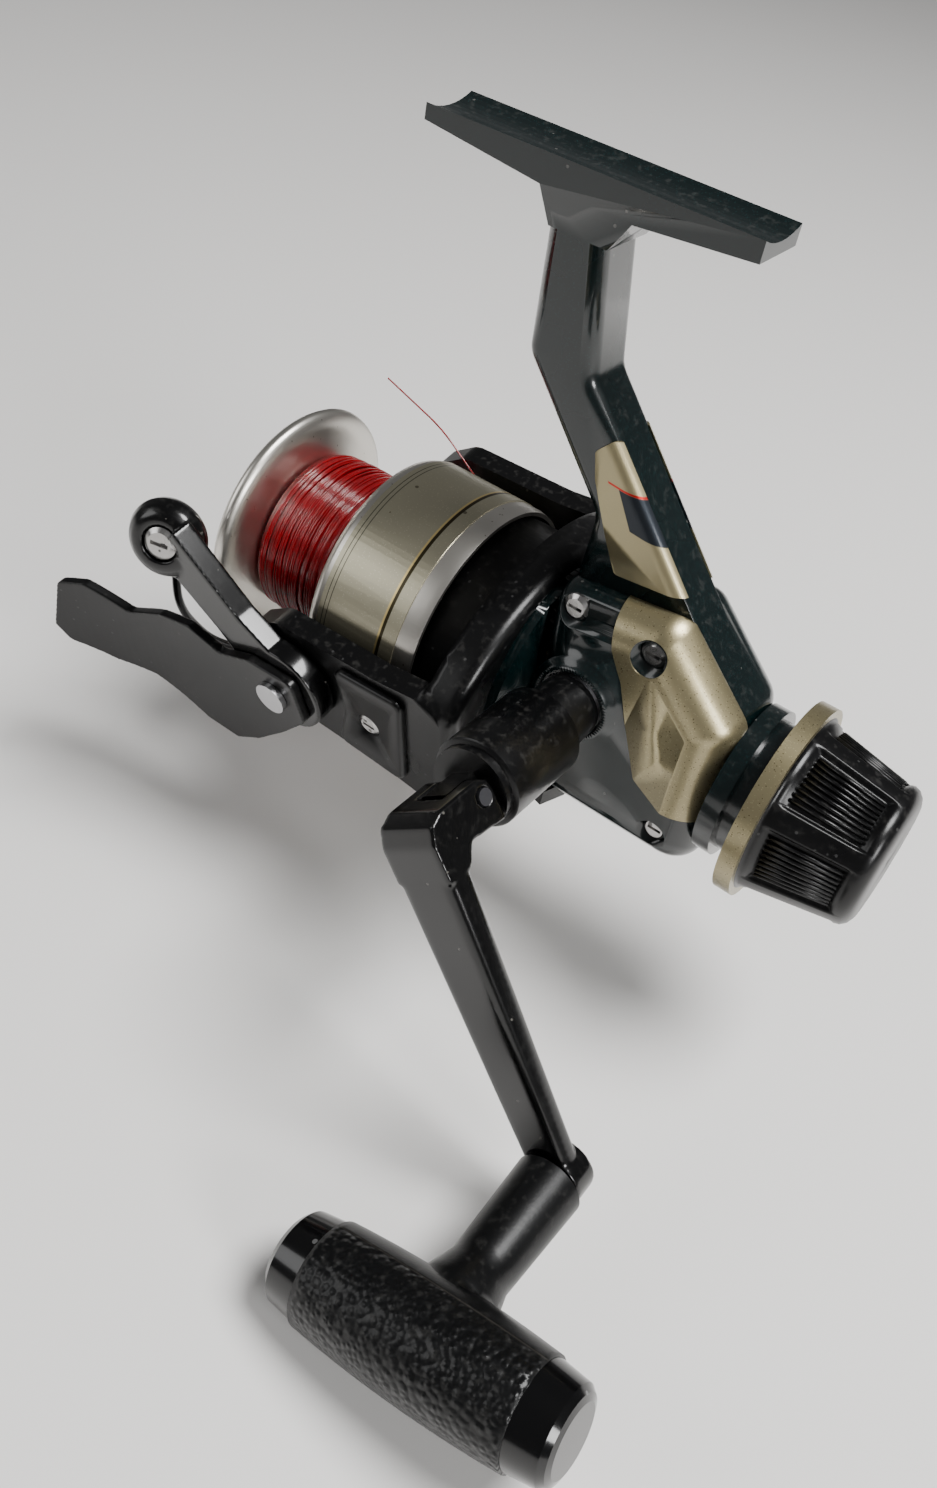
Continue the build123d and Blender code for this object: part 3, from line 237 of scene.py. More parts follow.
def dust_group():
    """Dust that settles on faces that look up: a mask."""
    inputs = [("Scale", 700.0), ("Amount", 0.3)]
    group, given, made = new_group("Dust", inputs, [("Mask", "NodeSocketFloat")])
    where = group.nodes.new("ShaderNodeTexCoord")
    noise = group.nodes.new("ShaderNodeTexNoise")
    noise.inputs["Detail"].default_value = 6.0
    group.links.new(where.outputs["Object"], noise.inputs["Vector"])
    group.links.new(given.outputs["Scale"], noise.inputs["Scale"])
    face = group.nodes.new("ShaderNodeNewGeometry")
    split = group.nodes.new("ShaderNodeSeparateXYZ")
    group.links.new(face.outputs["Normal"], split.inputs[0])
    patch = smooth_step(group, noise.outputs["Fac"], 0.52, 0.72)
    up = smooth_step(group, split.outputs["Z"], 0.0, 1.0)
    mask = math_node(group, "MULTIPLY", math_node(group, "MULTIPLY", patch, up), given.outputs["Amount"])
    group.links.new(mask, made.inputs["Mask"])


def place_group(tree, name, **values):
    """A node of a group with its own values."""
    node = tree.nodes.new("ShaderNodeGroup")
    node.node_tree = bpy.data.node_groups[name]
    for label, value in values.items():
        node.inputs[label.replace("_", " ")].default_value = value
    return node


# ---- Materials ----
FINISH = "_finish"
COAT_ROUGHNESS = 0.08
DUST_COLOUR = (0.32, 0.31, 0.29)


def plain(colour):
    """A colour with its alpha."""
    return (*tuple(colour)[:3], 1.0)


def finish_material(name):
    """The material that a finish's name stands for."""
    return bpy.data.materials[name + FINISH]


class Finish:
    """A material whose Principled BSDF is fed by masks and grain."""

    def __init__(self, name, colour, metallic=0.0, coat=0.0, gloss=0.5):
        material = bpy.data.materials.new(name + FINISH)
        material.use_nodes = True
        self.tree = material.node_tree
        self.shader = self.tree.nodes["Principled BSDF"]
        self.base = plain(colour)
        self.colour = None
        self.height = None
        self.shader.inputs["Base Color"].default_value = self.base
        self.shader.inputs["Metallic"].default_value = metallic
        self.shader.inputs["Coat Weight"].default_value = coat
        self.shader.inputs["Coat Roughness"].default_value = COAT_ROUGHNESS
        self.shader.inputs["Specular IOR Level"].default_value = gloss

    def axis(self, letter):
        """An object coordinate in metres."""
        where = self.tree.nodes.new("ShaderNodeTexCoord")
        split = self.tree.nodes.new("ShaderNodeSeparateXYZ")
        self.tree.links.new(where.outputs["Object"], split.inputs[0])
        return split.outputs[letter]

    def over(self, mask, colour):
        """Lay a colour over the finish where the mask is 1."""
        mix = self.tree.nodes.new("ShaderNodeMix")
        mix.data_type = "RGBA"
        self.tree.links.new(mask, mix.inputs["Factor"])
        mix.inputs["A"].default_value = self.base
        mix.inputs["B"].default_value = plain(colour)
        if self.colour:
            self.tree.links.new(self.colour, mix.inputs["A"])
        self.colour = mix.outputs["Result"]
        self.tree.links.new(self.colour, self.shader.inputs["Base Color"])

    def rough(self, value, low, high):
        """Let the roughness follow a value."""
        span = self.tree.nodes.new("ShaderNodeMapRange")
        span.inputs["To Min"].default_value = low
        span.inputs["To Max"].default_value = high
        self.tree.links.new(value, span.inputs["Value"])
        self.tree.links.new(span.outputs["Result"], self.shader.inputs["Roughness"])

    def bump(self, height, strength, distance):
        """Add a height to the surface's normal."""
        node = self.tree.nodes.new("ShaderNodeBump")
        node.inputs["Strength"].default_value = strength
        node.inputs["Distance"].default_value = distance
        self.tree.links.new(height, node.inputs["Height"])
        if self.height:
            self.tree.links.new(self.height, node.inputs["Normal"])
        self.height = node.outputs["Normal"]
        self.tree.links.new(self.height, self.shader.inputs["Normal"])

    def grain(self, scale, strength, low, high, distance=0.00005, cloud=60.0):
        """The Grain group as bump and as a range of roughness."""
        node = place_group(self.tree, "Grain", Scale=scale, Cloud_Scale=cloud)
        self.bump(node.outputs["Height"], strength, distance)
        self.rough(node.outputs["Cloud"], low, high)
        return node

    def specks(self, scale, share, colour):
        """The Specks group as colour."""
        node = place_group(self.tree, "Specks", Scale=scale, Share=share)
        self.over(node.outputs["Mask"], colour)

    def dust(self, amount):
        """The Dust group as colour."""
        node = place_group(self.tree, "Dust", Amount=amount)
        self.over(node.outputs["Mask"], DUST_COLOUR)


BAND_SOFTNESS = 0.00008


def band_mask(finish, value, low, high):
    """1 between two values, with soft edges."""
    rise = smooth_step(finish.tree, value, low - BAND_SOFTNESS, low + BAND_SOFTNESS)
    fall = smooth_step(finish.tree, value, high + BAND_SOFTNESS, high - BAND_SOFTNESS)
    return math_node(finish.tree, "MULTIPLY", rise, fall)


def dark_green_paint(colours):
    """Gloss paint over teal flake."""
    paint = Finish("dark_green_paint", colours.paint, coat=0.6, gloss=0.4)
    paint.grain(350.0, 0.10, 0.16, 0.34)
    paint.specks(5200.0, 0.10, (0.004, 0.022, 0.023))
    paint.specks(1500.0, 0.003, (0.07, 0.07, 0.065))
    paint.dust(0.05)


def gold_plate(colours):
    """Metallic film with a fine grain."""
    film = Finish("gold_plate", colours.gold, metallic=0.85, coat=0.25)
    film.grain(2600.0, 0.30, 0.28, 0.42)
    film.specks(4200.0, 0.14, (0.46, 0.40, 0.24))
    film.specks(3600.0, 0.08, (0.13, 0.10, 0.05))


MARK_LEAN = 0.62
MARK_SLOPE = 0.09
MARK_RISE = 0.0036
MARK_TALL = 0.0060
STRIPE_WIDTH = 0.00035
STRIPE_RED = (0.45, 0.012, 0.012)


def badge_film(colours):
    """The upper badge: metallic film with a slate mark and a thin red diagonal."""
    film = Finish("badge_film", colours.gold, metallic=0.85, coat=0.25)
    film.grain(2600.0, 0.30, 0.28, 0.42)
    film.specks(4200.0, 0.12, (0.36, 0.30, 0.17))
    centre = middle("badge_upper")
    forward, up = film.axis("X"), film.axis("Z")
    across = math_node(film.tree, "SUBTRACT", forward, math_node(film.tree, "MULTIPLY", up, MARK_LEAN))
    slope = math_node(film.tree, "ADD", up, math_node(film.tree, "MULTIPLY", forward, -MARK_SLOPE))
    mid = centre.x - MARK_LEAN * centre.z
    top = centre.z - MARK_SLOPE * centre.x + MARK_RISE
    under = band_mask(film, slope, top - MARK_TALL, top)
    beside = band_mask(film, across, mid - 0.0036, mid + 0.0030)
    film.over(math_node(film.tree, "MULTIPLY", under, beside), colours.slate)
    line = band_mask(film, slope, top, top + STRIPE_WIDTH)
    near = band_mask(film, across, mid - 0.0060, mid + 0.0050)
    film.over(math_node(film.tree, "MULTIPLY", line, near), STRIPE_RED)


def spool_film():
    """The spool's band: metallic film, two thin lines in front, and behind them a groove with a painted
    shade band and a painted highlight on its lit edge.
    """
    film = Finish("spool_film", (0.45, 0.42, 0.31), metallic=0.95, coat=0.15)
    low, high = (Vector(corner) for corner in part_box("spool_band"))
    film.grain(1800.0, 0.18, 0.30, 0.44)
    film.specks(3800.0, 0.10, (0.56, 0.53, 0.40))
    film.specks(700.0, 0.012, (0.20, 0.18, 0.13))
    forward = film.axis("X")
    thin = 0.00016
    for back in (0.0010, 0.0019):
        film.over(band_mask(film, forward, high.x - back - thin, high.x - back), (0.03, 0.03, 0.03))
    # Painted shade: a dark band laid in the groove. Painted highlight: a bright gold band on the groove's
    # lit edge.
    groove_shade_start, lit, end = (low.x + ahead for ahead in (0.0030, 0.0037, 0.0041))
    film.over(band_mask(film, forward, groove_shade_start, lit), (0.05, 0.04, 0.02))
    film.over(band_mask(film, forward, lit, end), (0.75, 0.58, 0.25))


def metal(name, colour, low, high, scale=1400.0, specks=0.01):
    """Bare or plated metal with grain and small stains."""
    finish = Finish(name, colour, metallic=1.0)
    finish.grain(scale, 0.12, low, high)
    finish.specks(900.0, specks, tuple(value * 0.25 for value in colour))


def spool_alloy():
    """Aluminium with fine rings from turning."""
    finish = Finish("spool_alloy", (0.74, 0.71, 0.65), metallic=1.0)
    finish.grain(500.0, 0.05, 0.24, 0.40)
    turning = math_node(finish.tree, "MULTIPLY", finish.axis("X"), 26000.0)
    finish.bump(math_node(finish.tree, "SINE", turning), 0.10, 0.00002)
    finish.specks(2400.0, 0.008, (0.40, 0.36, 0.30))


def black_satin(colours):
    """Satin black moulding with light scuffs."""
    finish = Finish("black_satin", colours.satin, gloss=0.34)
    finish.grain(1500.0, 0.20, 0.22, 0.38)
    finish.specks(1500.0, 0.010, (0.03, 0.03, 0.03))
    finish.dust(0.05)


def black_gloss():
    """Gloss black enamel with small chips."""
    finish = Finish("black_gloss", (0.001, 0.001, 0.0011), coat=0.3, gloss=0.4)
    finish.grain(300.0, 0.06, 0.14, 0.30)
    finish.specks(1700.0, 0.004, (0.08, 0.076, 0.068))
    finish.dust(0.03)


def hide_grip():
    """Black moulding: a pebbled hide panel outside, finer grain near the stem."""
    finish = Finish("hide_grip", (0.0020, 0.0021, 0.0023), gloss=0.34)
    finish.grain(1900.0, 0.35, 0.24, 0.42)
    where = finish.tree.nodes.new("ShaderNodeTexCoord")
    pebble = finish.tree.nodes.new("ShaderNodeTexVoronoi")
    pebble.feature = "SMOOTH_F1"
    pebble.inputs["Scale"].default_value = 900.0
    pebble.inputs["Smoothness"].default_value = 0.6
    finish.tree.links.new(where.outputs["Object"], pebble.inputs["Vector"])
    side = finish.axis("Y")
    rim = middle("knob_cap_front").y
    outside = smooth_step(finish.tree, side, rim - 0.0045, rim - 0.0038)
    panel = math_node(finish.tree, "MULTIPLY", pebble.outputs["Distance"], outside)
    finish.bump(math_node(finish.tree, "SUBTRACT", 1.0, panel), 0.9, 0.00032)
    finish.over(band_mask(finish, side, rim - 0.0043, rim - 0.0040), (0.02, 0.018, 0.016))
    finish.dust(0.04)


def cap_gloss():
    """Polished black plastic."""
    finish = Finish("cap_gloss", (0.0015, 0.0015, 0.0017), coat=0.3, gloss=0.4)
    finish.grain(240.0, 0.05, 0.10, 0.22)
    finish.specks(900.0, 0.006, (0.08, 0.08, 0.08))


def red_line(colours):
    """Clear red line: bright, glossy strands."""
    finish = Finish("red_line", colours.line, coat=0.6)
    node = finish.grain(420.0, 0.10, 0.10, 0.30, cloud=700.0)
    finish.over(smooth_step(finish.tree, node.outputs["Cloud"], 0.35, 0.85), (0.16, 0.0005, 0.003))


def moulded(name, colour, low, high, scale):
    """A plain moulded or pressed material with grain and dirt."""
    finish = Finish(name, colour)
    finish.grain(scale, 0.3, low, high)
    finish.specks(900.0, 0.02, tuple(value * 0.5 for value in colour))


def paper(colours):
    """The pale floor."""
    finish = Finish("paper", colours.floor)
    finish.grain(90.0, 0.05, 0.7, 0.9, distance=0.0003, cloud=3.0)


def make_materials(colours):
    """The shader groups, then every finish."""
    for build in (grain_group, speck_group, dust_group):
        build()
    for build in (dark_green_paint, gold_plate, badge_film, black_satin, red_line, paper):
        build(colours)
    for build in (spool_film, spool_alloy, black_gloss, hide_grip, cap_gloss):
        build()
    metal("steel", (0.52, 0.52, 0.53), 0.22, 0.38)
    metal("nickel", (0.50, 0.49, 0.48), 0.16, 0.36, specks=0.05)
    metal("dull_pin", (0.10, 0.10, 0.11), 0.40, 0.60)
    metal("brass", (0.70, 0.52, 0.26), 0.20, 0.36)
    metal("zinc", (0.40, 0.40, 0.41), 0.42, 0.60, scale=900.0)
    moulded("fibre", (0.16, 0.14, 0.12), 0.7, 0.9, 1600.0)
    moulded("white_plastic", (0.62, 0.60, 0.56), 0.45, 0.6, 900.0)


OWN_FINISH = {
    "badge_upper": "badge_film",
    "badge_far": "badge_film",
    "spool_band": "spool_film",
    "knob_grip": "hide_grip",
    "knob_cap_front": "cap_gloss",
    "knob_cap_rear": "cap_gloss",
    "fold_pin": "dull_pin",
}

# Nodes that smooth copies stand for, and the body that each rides on
SMOOTH_BODIES = {
    "body_frame": "frame",
    "side_cover": "frame",
    "badge_upper": "frame",
    "badge_lower": "frame",
    "badge_far": "frame",
    "rotor": "rotor",
    "arm_cover_near": "rotor",
    "arm_cover_far": "rotor",
    "spool": "spool",
    "spool_band": "spool",
    "crank_shank": "crank",
    "knob_grip": "knob",
}


def node_slots():
    """The record's material slot of each node."""
    return {part["node"]: part["material_slot"] for part in frame["record"]["subparts"]}


def finish_of(node):
    """The name of a node's material."""
    return OWN_FINISH.get(node) or node_slots()[node]


# ---- Mesh helpers ----
MERGE_DISTANCE = 0.000001
CRISP_ANGLE = math.radians(32)


def new_object(name, mesh, material):
    """An object at the origin with one material and smooth faces."""
    mesh.materials.clear()
    mesh.materials.append(finish_material(material))
    for face in mesh.polygons:
        face.use_smooth = True
    piece = bpy.data.objects.new(name, mesh)
    bpy.context.scene.collection.objects.link(piece)
    return piece


def lathe_mesh(name, profile, segments, radius_at=None):
    """Turn (x, radius) stations about the main shaft: a radius of 0 is a pole."""
    turned = bmesh.new()
    rings = []
    for x, radius in profile:
        ring = []
        count = segments if radius else 1
        for step in range(count):
            turn = 2 * math.pi * step / segments
            reach = radius_at(x, radius, turn) if radius_at and radius else radius
            spot = (x, reach * math.cos(turn), SHAFT.z + reach * math.sin(turn))
            ring.append(turned.verts.new(spot))
        rings.append(ring)
    for first, second in zip(rings, rings[1:] + rings[:1]):
        if len(first) == 1 and len(second) == 1:
            continue
        for step in range(segments):
            after = (step + 1) % segments
            corners = [first[step % len(first)], first[after % len(first)]]
            corners += [second[after % len(second)], second[step % len(second)]]
            turned.faces.new(list(dict.fromkeys(corners)))
    bmesh.ops.recalc_face_normals(turned, faces=turned.faces)
    mesh = bpy.data.meshes.new(name)
    turned.to_mesh(mesh)
    turned.free()
    return mesh


def evaluated(source, name):
    """A plain mesh of an object with its modifiers applied."""
    bpy.context.view_layer.update()
    shown = source.evaluated_get(bpy.context.evaluated_depsgraph_get())
    mesh = bpy.data.meshes.new_from_object(shown)
    mesh.name = name
    return mesh


def merged_copy(node):
    """A copy of a node's mesh with its loose triangles joined."""
    mesh = frame["nodes"][node].data.copy()
    merged = bmesh.new()
    merged.from_mesh(mesh)
    bmesh.ops.remove_doubles(merged, verts=merged.verts, dist=MERGE_DISTANCE)
    merged.to_mesh(mesh)
    merged.free()
    return mesh


def stand_for(piece, body, node):
    """Put a piece on its body, in place of a node."""
    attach(piece, body)
    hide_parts(node)


def soften(node, name, body, voxel, rounds):
    """Stand a copy of a node for it, with its edges rounded, as cast or moulded."""
    rough = new_object(name + "_rough", merged_copy(node), finish_of(node))
    remesh = rough.modifiers.new("Voxels", "REMESH")
    remesh.mode = "VOXEL"
    remesh.voxel_size = voxel
    ease = rough.modifiers.new("Ease", "SMOOTH")
    ease.factor = 0.5
    ease.iterations = rounds
    piece = new_object(name, evaluated(rough, name), finish_of(node))
    bpy.data.objects.remove(rough)
    stand_for(piece, body, node)


def smooth_copy(node, body):
    """Stand a copy of a node for it, with smooth curves and crisp edges."""
    mesh = merged_copy(node)
    piece = new_object(node + "_finished", mesh, finish_of(node))
    mesh.set_sharp_from_angle(angle=CRISP_ANGLE)
    stand_for(piece, body, node)


# ---- Geometry node helpers ----
def new_tree(name, inputs):
    """A geometry node tree with named inputs."""
    tree = bpy.data.node_groups.new(name, "GeometryNodeTree")
    for label, kind, value in inputs:
        socket = tree.interface.new_socket(label, in_out="INPUT", socket_type=kind)
        socket.default_value = value
    tree.interface.new_socket("Geometry", in_out="OUTPUT", socket_type="NodeSocketGeometry")
    return tree, tree.nodes.new("NodeGroupInput"), tree.nodes.new("NodeGroupOutput")


def geo(tree, kind, **sockets):
    """A geometry node whose inputs are set by number or by socket."""
    node = tree.nodes.new(kind)
    for label, value in sockets.items():
        socket = node.inputs[label.replace("_", " ")]
        if isinstance(value, bpy.types.NodeSocket):
            tree.links.new(value, socket)
        else:
            socket.default_value = value
    return node


def end_tree(tree, made, geometry, material):
    """Realize the instances and set the material."""
    real = geo(tree, "GeometryNodeRealizeInstances", Geometry=geometry)
    paint = geo(tree, "GeometryNodeSetMaterial", Geometry=real.outputs["Geometry"])
    paint.inputs["Material"].default_value = finish_material(material)
    tree.links.new(paint.outputs["Geometry"], made.inputs["Geometry"])


def run_tree(name, tree, values, material):
    """Run a tree and keep its result as a plain mesh."""
    holder = new_object(name + "_tree", bpy.data.meshes.new(name + "_base"), material)
    modifier = holder.modifiers.new("Nodes", "NODES")
    modifier.node_group = tree
    for item in tree.interface.items_tree:
        if item.in_out == "INPUT" and item.name in values:
            modifier[item.identifier] = values[item.name]
    piece = new_object(name, evaluated(holder, name), material)
    bpy.data.objects.remove(holder)
    return piece


def wrap_tree():
    """Wraps of line side by side, each with a small lean and a small rise."""
    tree, given, made = new_tree(
        "Line wraps",
        [
            ("Count", "NodeSocketInt", 60),
            ("Pitch", "NodeSocketFloat", 0.0003),
            ("Radius", "NodeSocketFloat", 0.018),
            ("Strand", "NodeSocketFloat", 0.0002),
            ("Lean", "NodeSocketFloat", 0.04),
            ("Crown", "NodeSocketFloat", 0.04),
            ("Start", "NodeSocketVector", (0, 0, 0)),
        ],
    )
    index = tree.nodes.new("GeometryNodeInputIndex").outputs[0]
    points = geo(tree, "GeometryNodeMeshLine", Count=given.outputs["Count"], Offset=(0, 0, 0))
    ahead = math_node(tree, "MULTIPLY", index, given.outputs["Pitch"])
    shift = geo(tree, "ShaderNodeCombineXYZ", X=ahead).outputs[0]
    moved = geo(tree, "ShaderNodeVectorMath", Vector=shift)
    moved.operation = "ADD"
    tree.links.new(given.outputs["Start"], moved.inputs[1])
    placed = geo(
        tree, "GeometryNodeSetPosition", Geometry=points.outputs["Mesh"], Position=moved.outputs["Vector"]
    )
    circle = geo(tree, "GeometryNodeCurvePrimitiveCircle", Resolution=80, Radius=given.outputs["Radius"])
    upright = geo(
        tree,
        "GeometryNodeTransform",
        Geometry=circle.outputs["Curve"],
        Rotation=Euler((0, math.pi / 2, 0)),
    )
    strand = geo(tree, "GeometryNodeCurvePrimitiveCircle", Resolution=6, Radius=given.outputs["Strand"])
    ring = geo(
        tree,
        "GeometryNodeCurveToMesh",
        Curve=upright.outputs["Geometry"],
        Profile_Curve=strand.outputs["Curve"],
    )
    lean = tree.nodes.new("FunctionNodeRandomValue")
    lean.data_type = "FLOAT_VECTOR"
    opposite = math_node(tree, "MULTIPLY", given.outputs["Lean"], -1.0)
    low = geo(tree, "ShaderNodeCombineXYZ", Y=opposite, Z=opposite).outputs[0]
    high = geo(tree, "ShaderNodeCombineXYZ", Y=given.outputs["Lean"], Z=given.outputs["Lean"]).outputs[0]
    tree.links.new(low, lean.inputs["Min"])
    tree.links.new(high, lean.inputs["Max"])
    lean.inputs["Seed"].default_value = 7
    share = math_node(tree, "DIVIDE", index, given.outputs["Count"])
    swell = math_node(tree, "SINE", math_node(tree, "MULTIPLY", share, math.pi))
    lift = math_node(tree, "MULTIPLY", swell, given.outputs["Crown"])
    rise = tree.nodes.new("FunctionNodeRandomValue")
    rise.data_type = "FLOAT"
    for place, value in ((2, 0.994), (3, 1.008)):
        rise.inputs[place].default_value = value
    rise.inputs["Seed"].default_value = 11
    size = math_node(tree, "ADD", rise.outputs[1], lift)
    copies = geo(
        tree,
        "GeometryNodeInstanceOnPoints",
        Points=placed.outputs["Geometry"],
        Instance=ring.outputs["Mesh"],
        Rotation=lean.outputs["Value"],
        Scale=size,
    )
    end_tree(tree, made, copies.outputs["Instances"], "red_line")
    return tree


def rib_tree():
    """Ribs in panels round a tapered knob, along its axis."""
    tree, given, made = new_tree(
        "Knob ribs",
        [
            ("Panels", "NodeSocketInt", 6),
            ("Ribs", "NodeSocketInt", 7),
            ("Step", "NodeSocketFloat", 0.06),
            ("Reach", "NodeSocketFloat", 0.015),
            ("Length", "NodeSocketFloat", 0.01),
            ("Taper", "NodeSocketFloat", 0.1),
            ("Rib", "NodeSocketFloat", 0.0004),
            ("Centre", "NodeSocketVector", (0, 0, 0)),
        ],
    )
    index = tree.nodes.new("GeometryNodeInputIndex").outputs[0]
    count = math_node(tree, "MULTIPLY", given.outputs["Panels"], given.outputs["Ribs"])
    points = geo(tree, "GeometryNodeMeshLine", Count=count, Offset=(0, 0, 0))
    panel = math_node(tree, "FLOOR", math_node(tree, "DIVIDE", index, given.outputs["Ribs"]))
    rib = math_node(tree, "MODULO", index, given.outputs["Ribs"])
    offset = math_node(tree, "SUBTRACT", given.outputs["Ribs"], 1.0)
    inside = math_node(tree, "SUBTRACT", rib, math_node(tree, "MULTIPLY", offset, 0.5))
    turn = math_node(tree, "DIVIDE", 2 * math.pi, given.outputs["Panels"])
    angle = math_node(
        tree,
        "ADD",
        math_node(tree, "MULTIPLY", math_node(tree, "ADD", panel, 0.5), turn),
        math_node(tree, "MULTIPLY", inside, given.outputs["Step"]),
    )
    bar = geo(
        tree,
        "GeometryNodeMeshCylinder",
        Vertices=10,
        Radius=given.outputs["Rib"],
        Depth=given.outputs["Length"],
    )
    tilt = math_node(tree, "ADD", given.outputs["Taper"], math.pi / 2)
    lay = geo(tree, "ShaderNodeCombineXYZ", Y=tilt).outputs[0]
    out = geo(tree, "ShaderNodeCombineXYZ", Z=given.outputs["Reach"]).outputs[0]
    laid = geo(
        tree, "GeometryNodeTransform", Geometry=bar.outputs["Mesh"], Rotation=lay, Translation=out
    )
    spin = geo(tree, "ShaderNodeCombineXYZ", X=angle).outputs[0]
    copies = geo(
        tree,
        "GeometryNodeInstanceOnPoints",
        Points=points.outputs["Mesh"],
        Instance=laid.outputs["Geometry"],
        Rotation=spin,
    )
    placed = geo(
        tree,
        "GeometryNodeTransform",
        Geometry=copies.outputs["Instances"],
        Translation=given.outputs["Centre"],
    )
    end_tree(tree, made, placed.outputs["Geometry"], "black_satin")
    return tree


# ---- Operators ----
class ReelOperator(bpy.types.Operator):
    """What every step of the reel shares."""

    bl_options = {"REGISTER", "UNDO"}

    @property
    def sizes(self):
        """The sizes from the panel."""
        return bpy.context.scene.reel_sizes

    @property
    def colours(self):
        """The colours from the panel."""
        return bpy.context.scene.reel_colours


class REEL_OT_stage(ReelOperator):
    """Camera, pale floor and soft light"""

    bl_idname = "reel.stage"
    bl_label = "Stage"

    def execute(self, context):
        make_materials(self.colours)
        lens = bpy.data.cameras.new("view")
        lens.lens = CAMERA_LENS
        lens.shift_x, lens.shift_y = CAMERA_SHIFT
        lens.clip_start = 0.01
        camera = bpy.data.objects.new("view", lens)
        camera.location = CAMERA_PLACE
        camera.rotation_euler = tuple(math.radians(turn) for turn in CAMERA_TURN)
        context.scene.collection.objects.link(camera)
        context.scene.camera = camera
        level = CAD_BOX[0][2] - FLOOR_GAP
        sheet = bpy.data.meshes.new("floor")
        sides = ((-1, -1), (1, -1), (1, 1), (-1, 1))
        corners = [(x * FLOOR_HALF, y * FLOOR_HALF, level) for x, y in sides]
        sheet.from_pydata(corners, [], [(0, 1, 2, 3)])
        new_object("floor", sheet, "paper")
        for name, spot, size, power in LAMPS:
            lamp = bpy.data.lights.new(name, "AREA")
            lamp.shape = "DISK"
            lamp.size = size
            lamp.energy = power
            light = bpy.data.objects.new(name, lamp)
            light.location = spot
            light.rotation_euler = (LIGHT_TARGET - Vector(spot)).to_track_quat("-Z", "Y").to_euler()
            context.scene.collection.objects.link(light)
        world = bpy.data.worlds.new("room")
        world.use_nodes = True
        backdrop = world.node_tree.nodes["Background"]
        backdrop.inputs["Color"].default_value = ROOM_COLOUR
        backdrop.inputs["Strength"].default_value = ROOM_STRENGTH
        context.scene.world = world
        return {"FINISHED"}


class REEL_OT_line_end(ReelOperator):
    """The loose end of the line"""

    bl_idname = "reel.line_end"
    bl_label = "Line end"

    def execute(self, context):
        curve = bpy.data.curves.new("loose_line", "CURVE")
        curve.dimensions = "3D"
        curve.bevel_depth = self.sizes.cord_size / 2
        curve.bevel_resolution = 3
        curve.resolution_u = 12
        curve.use_fill_caps = True
        spline = curve.splines.new("NURBS")
        spline.points.add(len(LINE_STATIONS) - 1)
        for point, station in zip(spline.points, LINE_STATIONS):
            point.co = (*at_rotor(*station), 1)
        spline.order_u = 3
        spline.use_endpoint_u = True
        curve.materials.append(finish_material("red_line"))
        piece = bpy.data.objects.new("loose_line", curve)
        context.scene.collection.objects.link(piece)
        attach(piece, "rotor")
        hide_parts("line_end")
        return {"FINISHED"}


class REEL_OT_finishes(ReelOperator):
    """A finish on every piece of the frame"""

    bl_idname = "reel.finishes"
    bl_label = "Finishes"

    def execute(self, context):
        for node, piece in frame["nodes"].items():
            piece.data.materials.clear()
            piece.data.materials.append(finish_material(finish_of(node)))
        return {"FINISHED"}


class REEL_OT_castings(ReelOperator):
    """Castings, mouldings and turned pieces with smooth curves and crisp edges"""

    bl_idname = "reel.castings"
    bl_label = "Castings"

    def execute(self, context):
        for node, body in SMOOTH_BODIES.items():
            smooth_copy(node, body)
        return {"FINISHED"}


class REEL_OT_bail(ReelOperator):
    """The bail arm and its trigger with moulded edges"""

    bl_idname = "reel.bail"
    bl_label = "Bail"

    def execute(self, context):
        soften("bail_arm", "bail_arm_casting", "bail", 0.00022, 26)
        soften("trigger_lever", "trigger_moulding", "bail", 0.00022, 10)
        soften("bail_far_lever", "far_lever_casting", "bail", 0.00025, 10)
        return {"FINISHED"}


class REEL_OT_crank(ReelOperator):
    """The crank's arm with rounded edges"""

    bl_idname = "reel.crank"
    bl_label = "Crank"

    def execute(self, context):
        soften("handle_arm", "crank_arm", "handle", 0.00028, 22)
        return {"FINISHED"}


class REEL_OT_winding(ReelOperator):
    """The line wound on the spool, wrap by wrap"""

    bl_idname = "reel.winding"
    bl_label = "Winding"

    def execute(self, context):
        radius = (WIND_HIGH.z - WIND_LOW.z) / 2 - 0.0007
        arbor = 0.0141
        end_gap = 0.0001
        start, stop = WIND_LOW.x + end_gap, WIND_HIGH.x - end_gap
        stations = [
            (start, arbor),
            (start, radius - 0.0008),
            (start + 0.4 * (stop - start), radius - 0.0006),
            (stop - 0.0006, radius - 0.0009),
            (stop, arbor),
        ]
        core = lathe_mesh("line_core", stations, 128)
        stand_for(new_object("line_core", core, "red_line"), "spool", "line_winding")
        margin = 0.0009
        values = {
            "Count": int((stop - start - 2 * margin) / self.sizes.wrap_pitch),
            "Pitch": self.sizes.wrap_pitch,
            "Radius": radius - 0.0006,
            "Strand": self.sizes.wrap_size,
            "Lean": self.sizes.wrap_lean,
            "Crown": 0.022,
            "Start": (start + margin, 0.0, SHAFT.z),
        }
        wraps = run_tree("line_wraps", wrap_tree(), values, "red_line")
        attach(wraps, "spool")
        return {"FINISHED"}


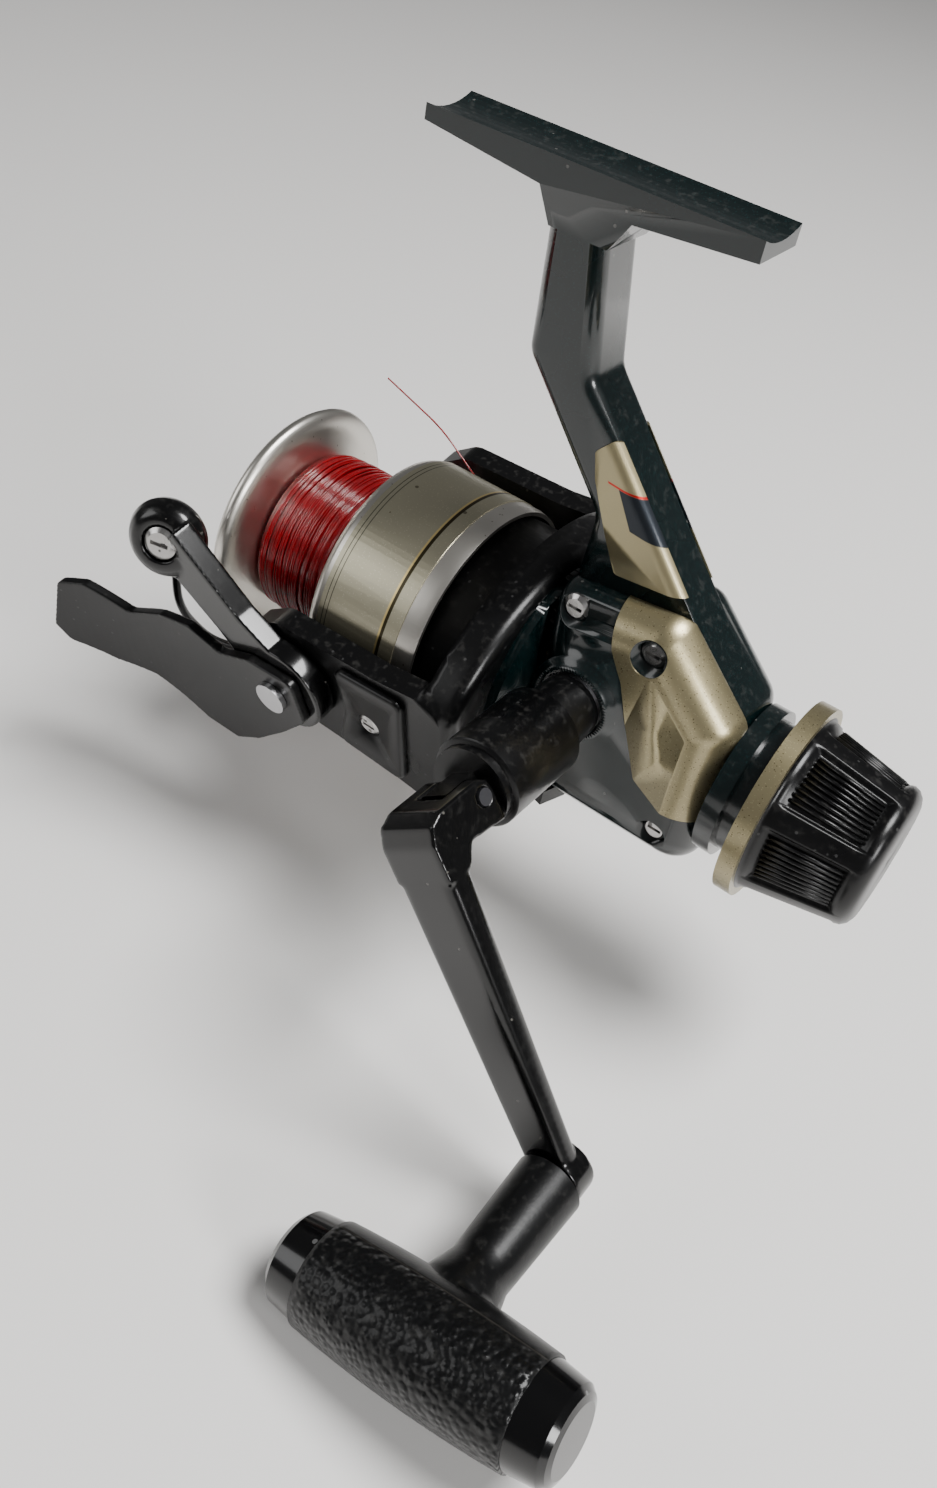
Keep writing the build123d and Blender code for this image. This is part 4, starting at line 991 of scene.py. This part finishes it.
class REEL_OT_drag_knob(ReelOperator):
    """The rear drag knob with its recessed, ribbed panels"""

    bl_idname = "reel.drag_knob"
    bl_label = "Drag knob"

    def execute(self, context):
        rear, front = KNOB_LOW.x, RING_HIGH.x
        step = RING_LOW.x
        flange = (RING_HIGH.z - RING_LOW.z) / 2 - 0.0016
        wide, narrow, bore, well = 0.0172, 0.0140, 0.0079, 0.0136
        edge = 0.0006
        panels, depth = self.sizes.knob_panels, self.sizes.panel_depth
        panel_front, panel_rear = step - 0.0014, rear + 0.0030

        def radius_at(x, radius, turn):
            """The outside radius, lowered inside the panels."""
            if radius < narrow * 0.9 or x > step:
                return radius
            across = abs((turn * panels / (2 * math.pi)) % 1.0 - 0.5) * 2
            inside = min(1.0, max(0.0, (across - 0.24) / 0.06))
            ends = min(panel_front - x, x - panel_rear) / edge
            return radius - depth * inside * min(1.0, max(0.0, ends))

        steps = 24
        run = step - rear - 0.0024
        taper = [
            (step - run * place / steps, wide + (narrow - wide) * place / steps)
            for place in range(steps + 1)
        ]
        profile = [(rear + 0.0003, 0.0), (rear, 0.0008), (rear, narrow - 0.0024)]
        profile += [(rear + 0.0005, narrow - 0.0012), (rear + 0.0014, narrow - 0.0003)]
        profile += taper[::-1]
        shoulder, floor = front - 0.0064, rear + 0.0030
        profile += [(step, flange), (front, flange), (front, well), (shoulder, well)]
        profile += [(shoulder, bore), (floor, bore), (floor, 0.0)]
        grip = lathe_mesh("drag_grip", profile, 360, radius_at)
        stand_for(new_object("drag_grip", grip, "black_satin"), "drag_knob", "drag_knob")
        centre = (panel_front + panel_rear) / 2
        share = (step - centre) / run
        slope = math.atan((wide - narrow) / run)
        values = {
            "Panels": panels,
            "Ribs": self.sizes.panel_ribs,
            "Step": math.radians(4.1),
            "Reach": wide + (narrow - wide) * share - depth + 0.0003,
            "Length": panel_front - panel_rear - 0.0022,
            "Taper": -slope,
            "Rib": 0.00042,
            "Centre": (centre, 0.0, SHAFT.z),
        }
        ribs = run_tree("drag_grip_ribs", rib_tree(), values, "black_satin")
        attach(ribs, "drag_knob")
        return {"FINISHED"}


STEPS = (
    REEL_OT_stage,
    REEL_OT_line_end,
    REEL_OT_finishes,
    REEL_OT_castings,
    REEL_OT_bail,
    REEL_OT_crank,
    REEL_OT_winding,
    REEL_OT_drag_knob,
)


class REEL_PT_panel(bpy.types.Panel):
    """The reel's steps and values"""

    bl_idname = "REEL_PT_panel"
    bl_label = "Spinning Reel"
    bl_space_type = "VIEW_3D"
    bl_region_type = "UI"
    bl_category = "Reel"

    def draw(self, context):
        for group in (context.scene.reel_sizes, context.scene.reel_colours):
            for name in group.__annotations__:
                self.layout.prop(group, name)
        for step in STEPS:
            self.layout.operator(step.bl_idname)


CLASSES = (ReelSizes, ReelColours, *STEPS, REEL_PT_panel)


def register():
    """Add the classes and the scene's properties."""
    for item in CLASSES:
        bpy.utils.register_class(item)
    bpy.types.Scene.reel_sizes = bpy.props.PointerProperty(type=ReelSizes)
    bpy.types.Scene.reel_colours = bpy.props.PointerProperty(type=ReelColours)


def unregister():
    """Take the classes and the scene's properties away."""
    del bpy.types.Scene.reel_sizes
    del bpy.types.Scene.reel_colours
    for item in reversed(CLASSES):
        bpy.utils.unregister_class(item)


def main():
    """Run every step in order."""
    register()
    bpy.ops.reel.stage()
    bpy.ops.reel.line_end()
    bpy.ops.reel.finishes()
    bpy.ops.reel.castings()
    bpy.ops.reel.bail()
    bpy.ops.reel.crank()
    bpy.ops.reel.winding()
    bpy.ops.reel.drag_knob()


if __name__ == "__main__":
    main()
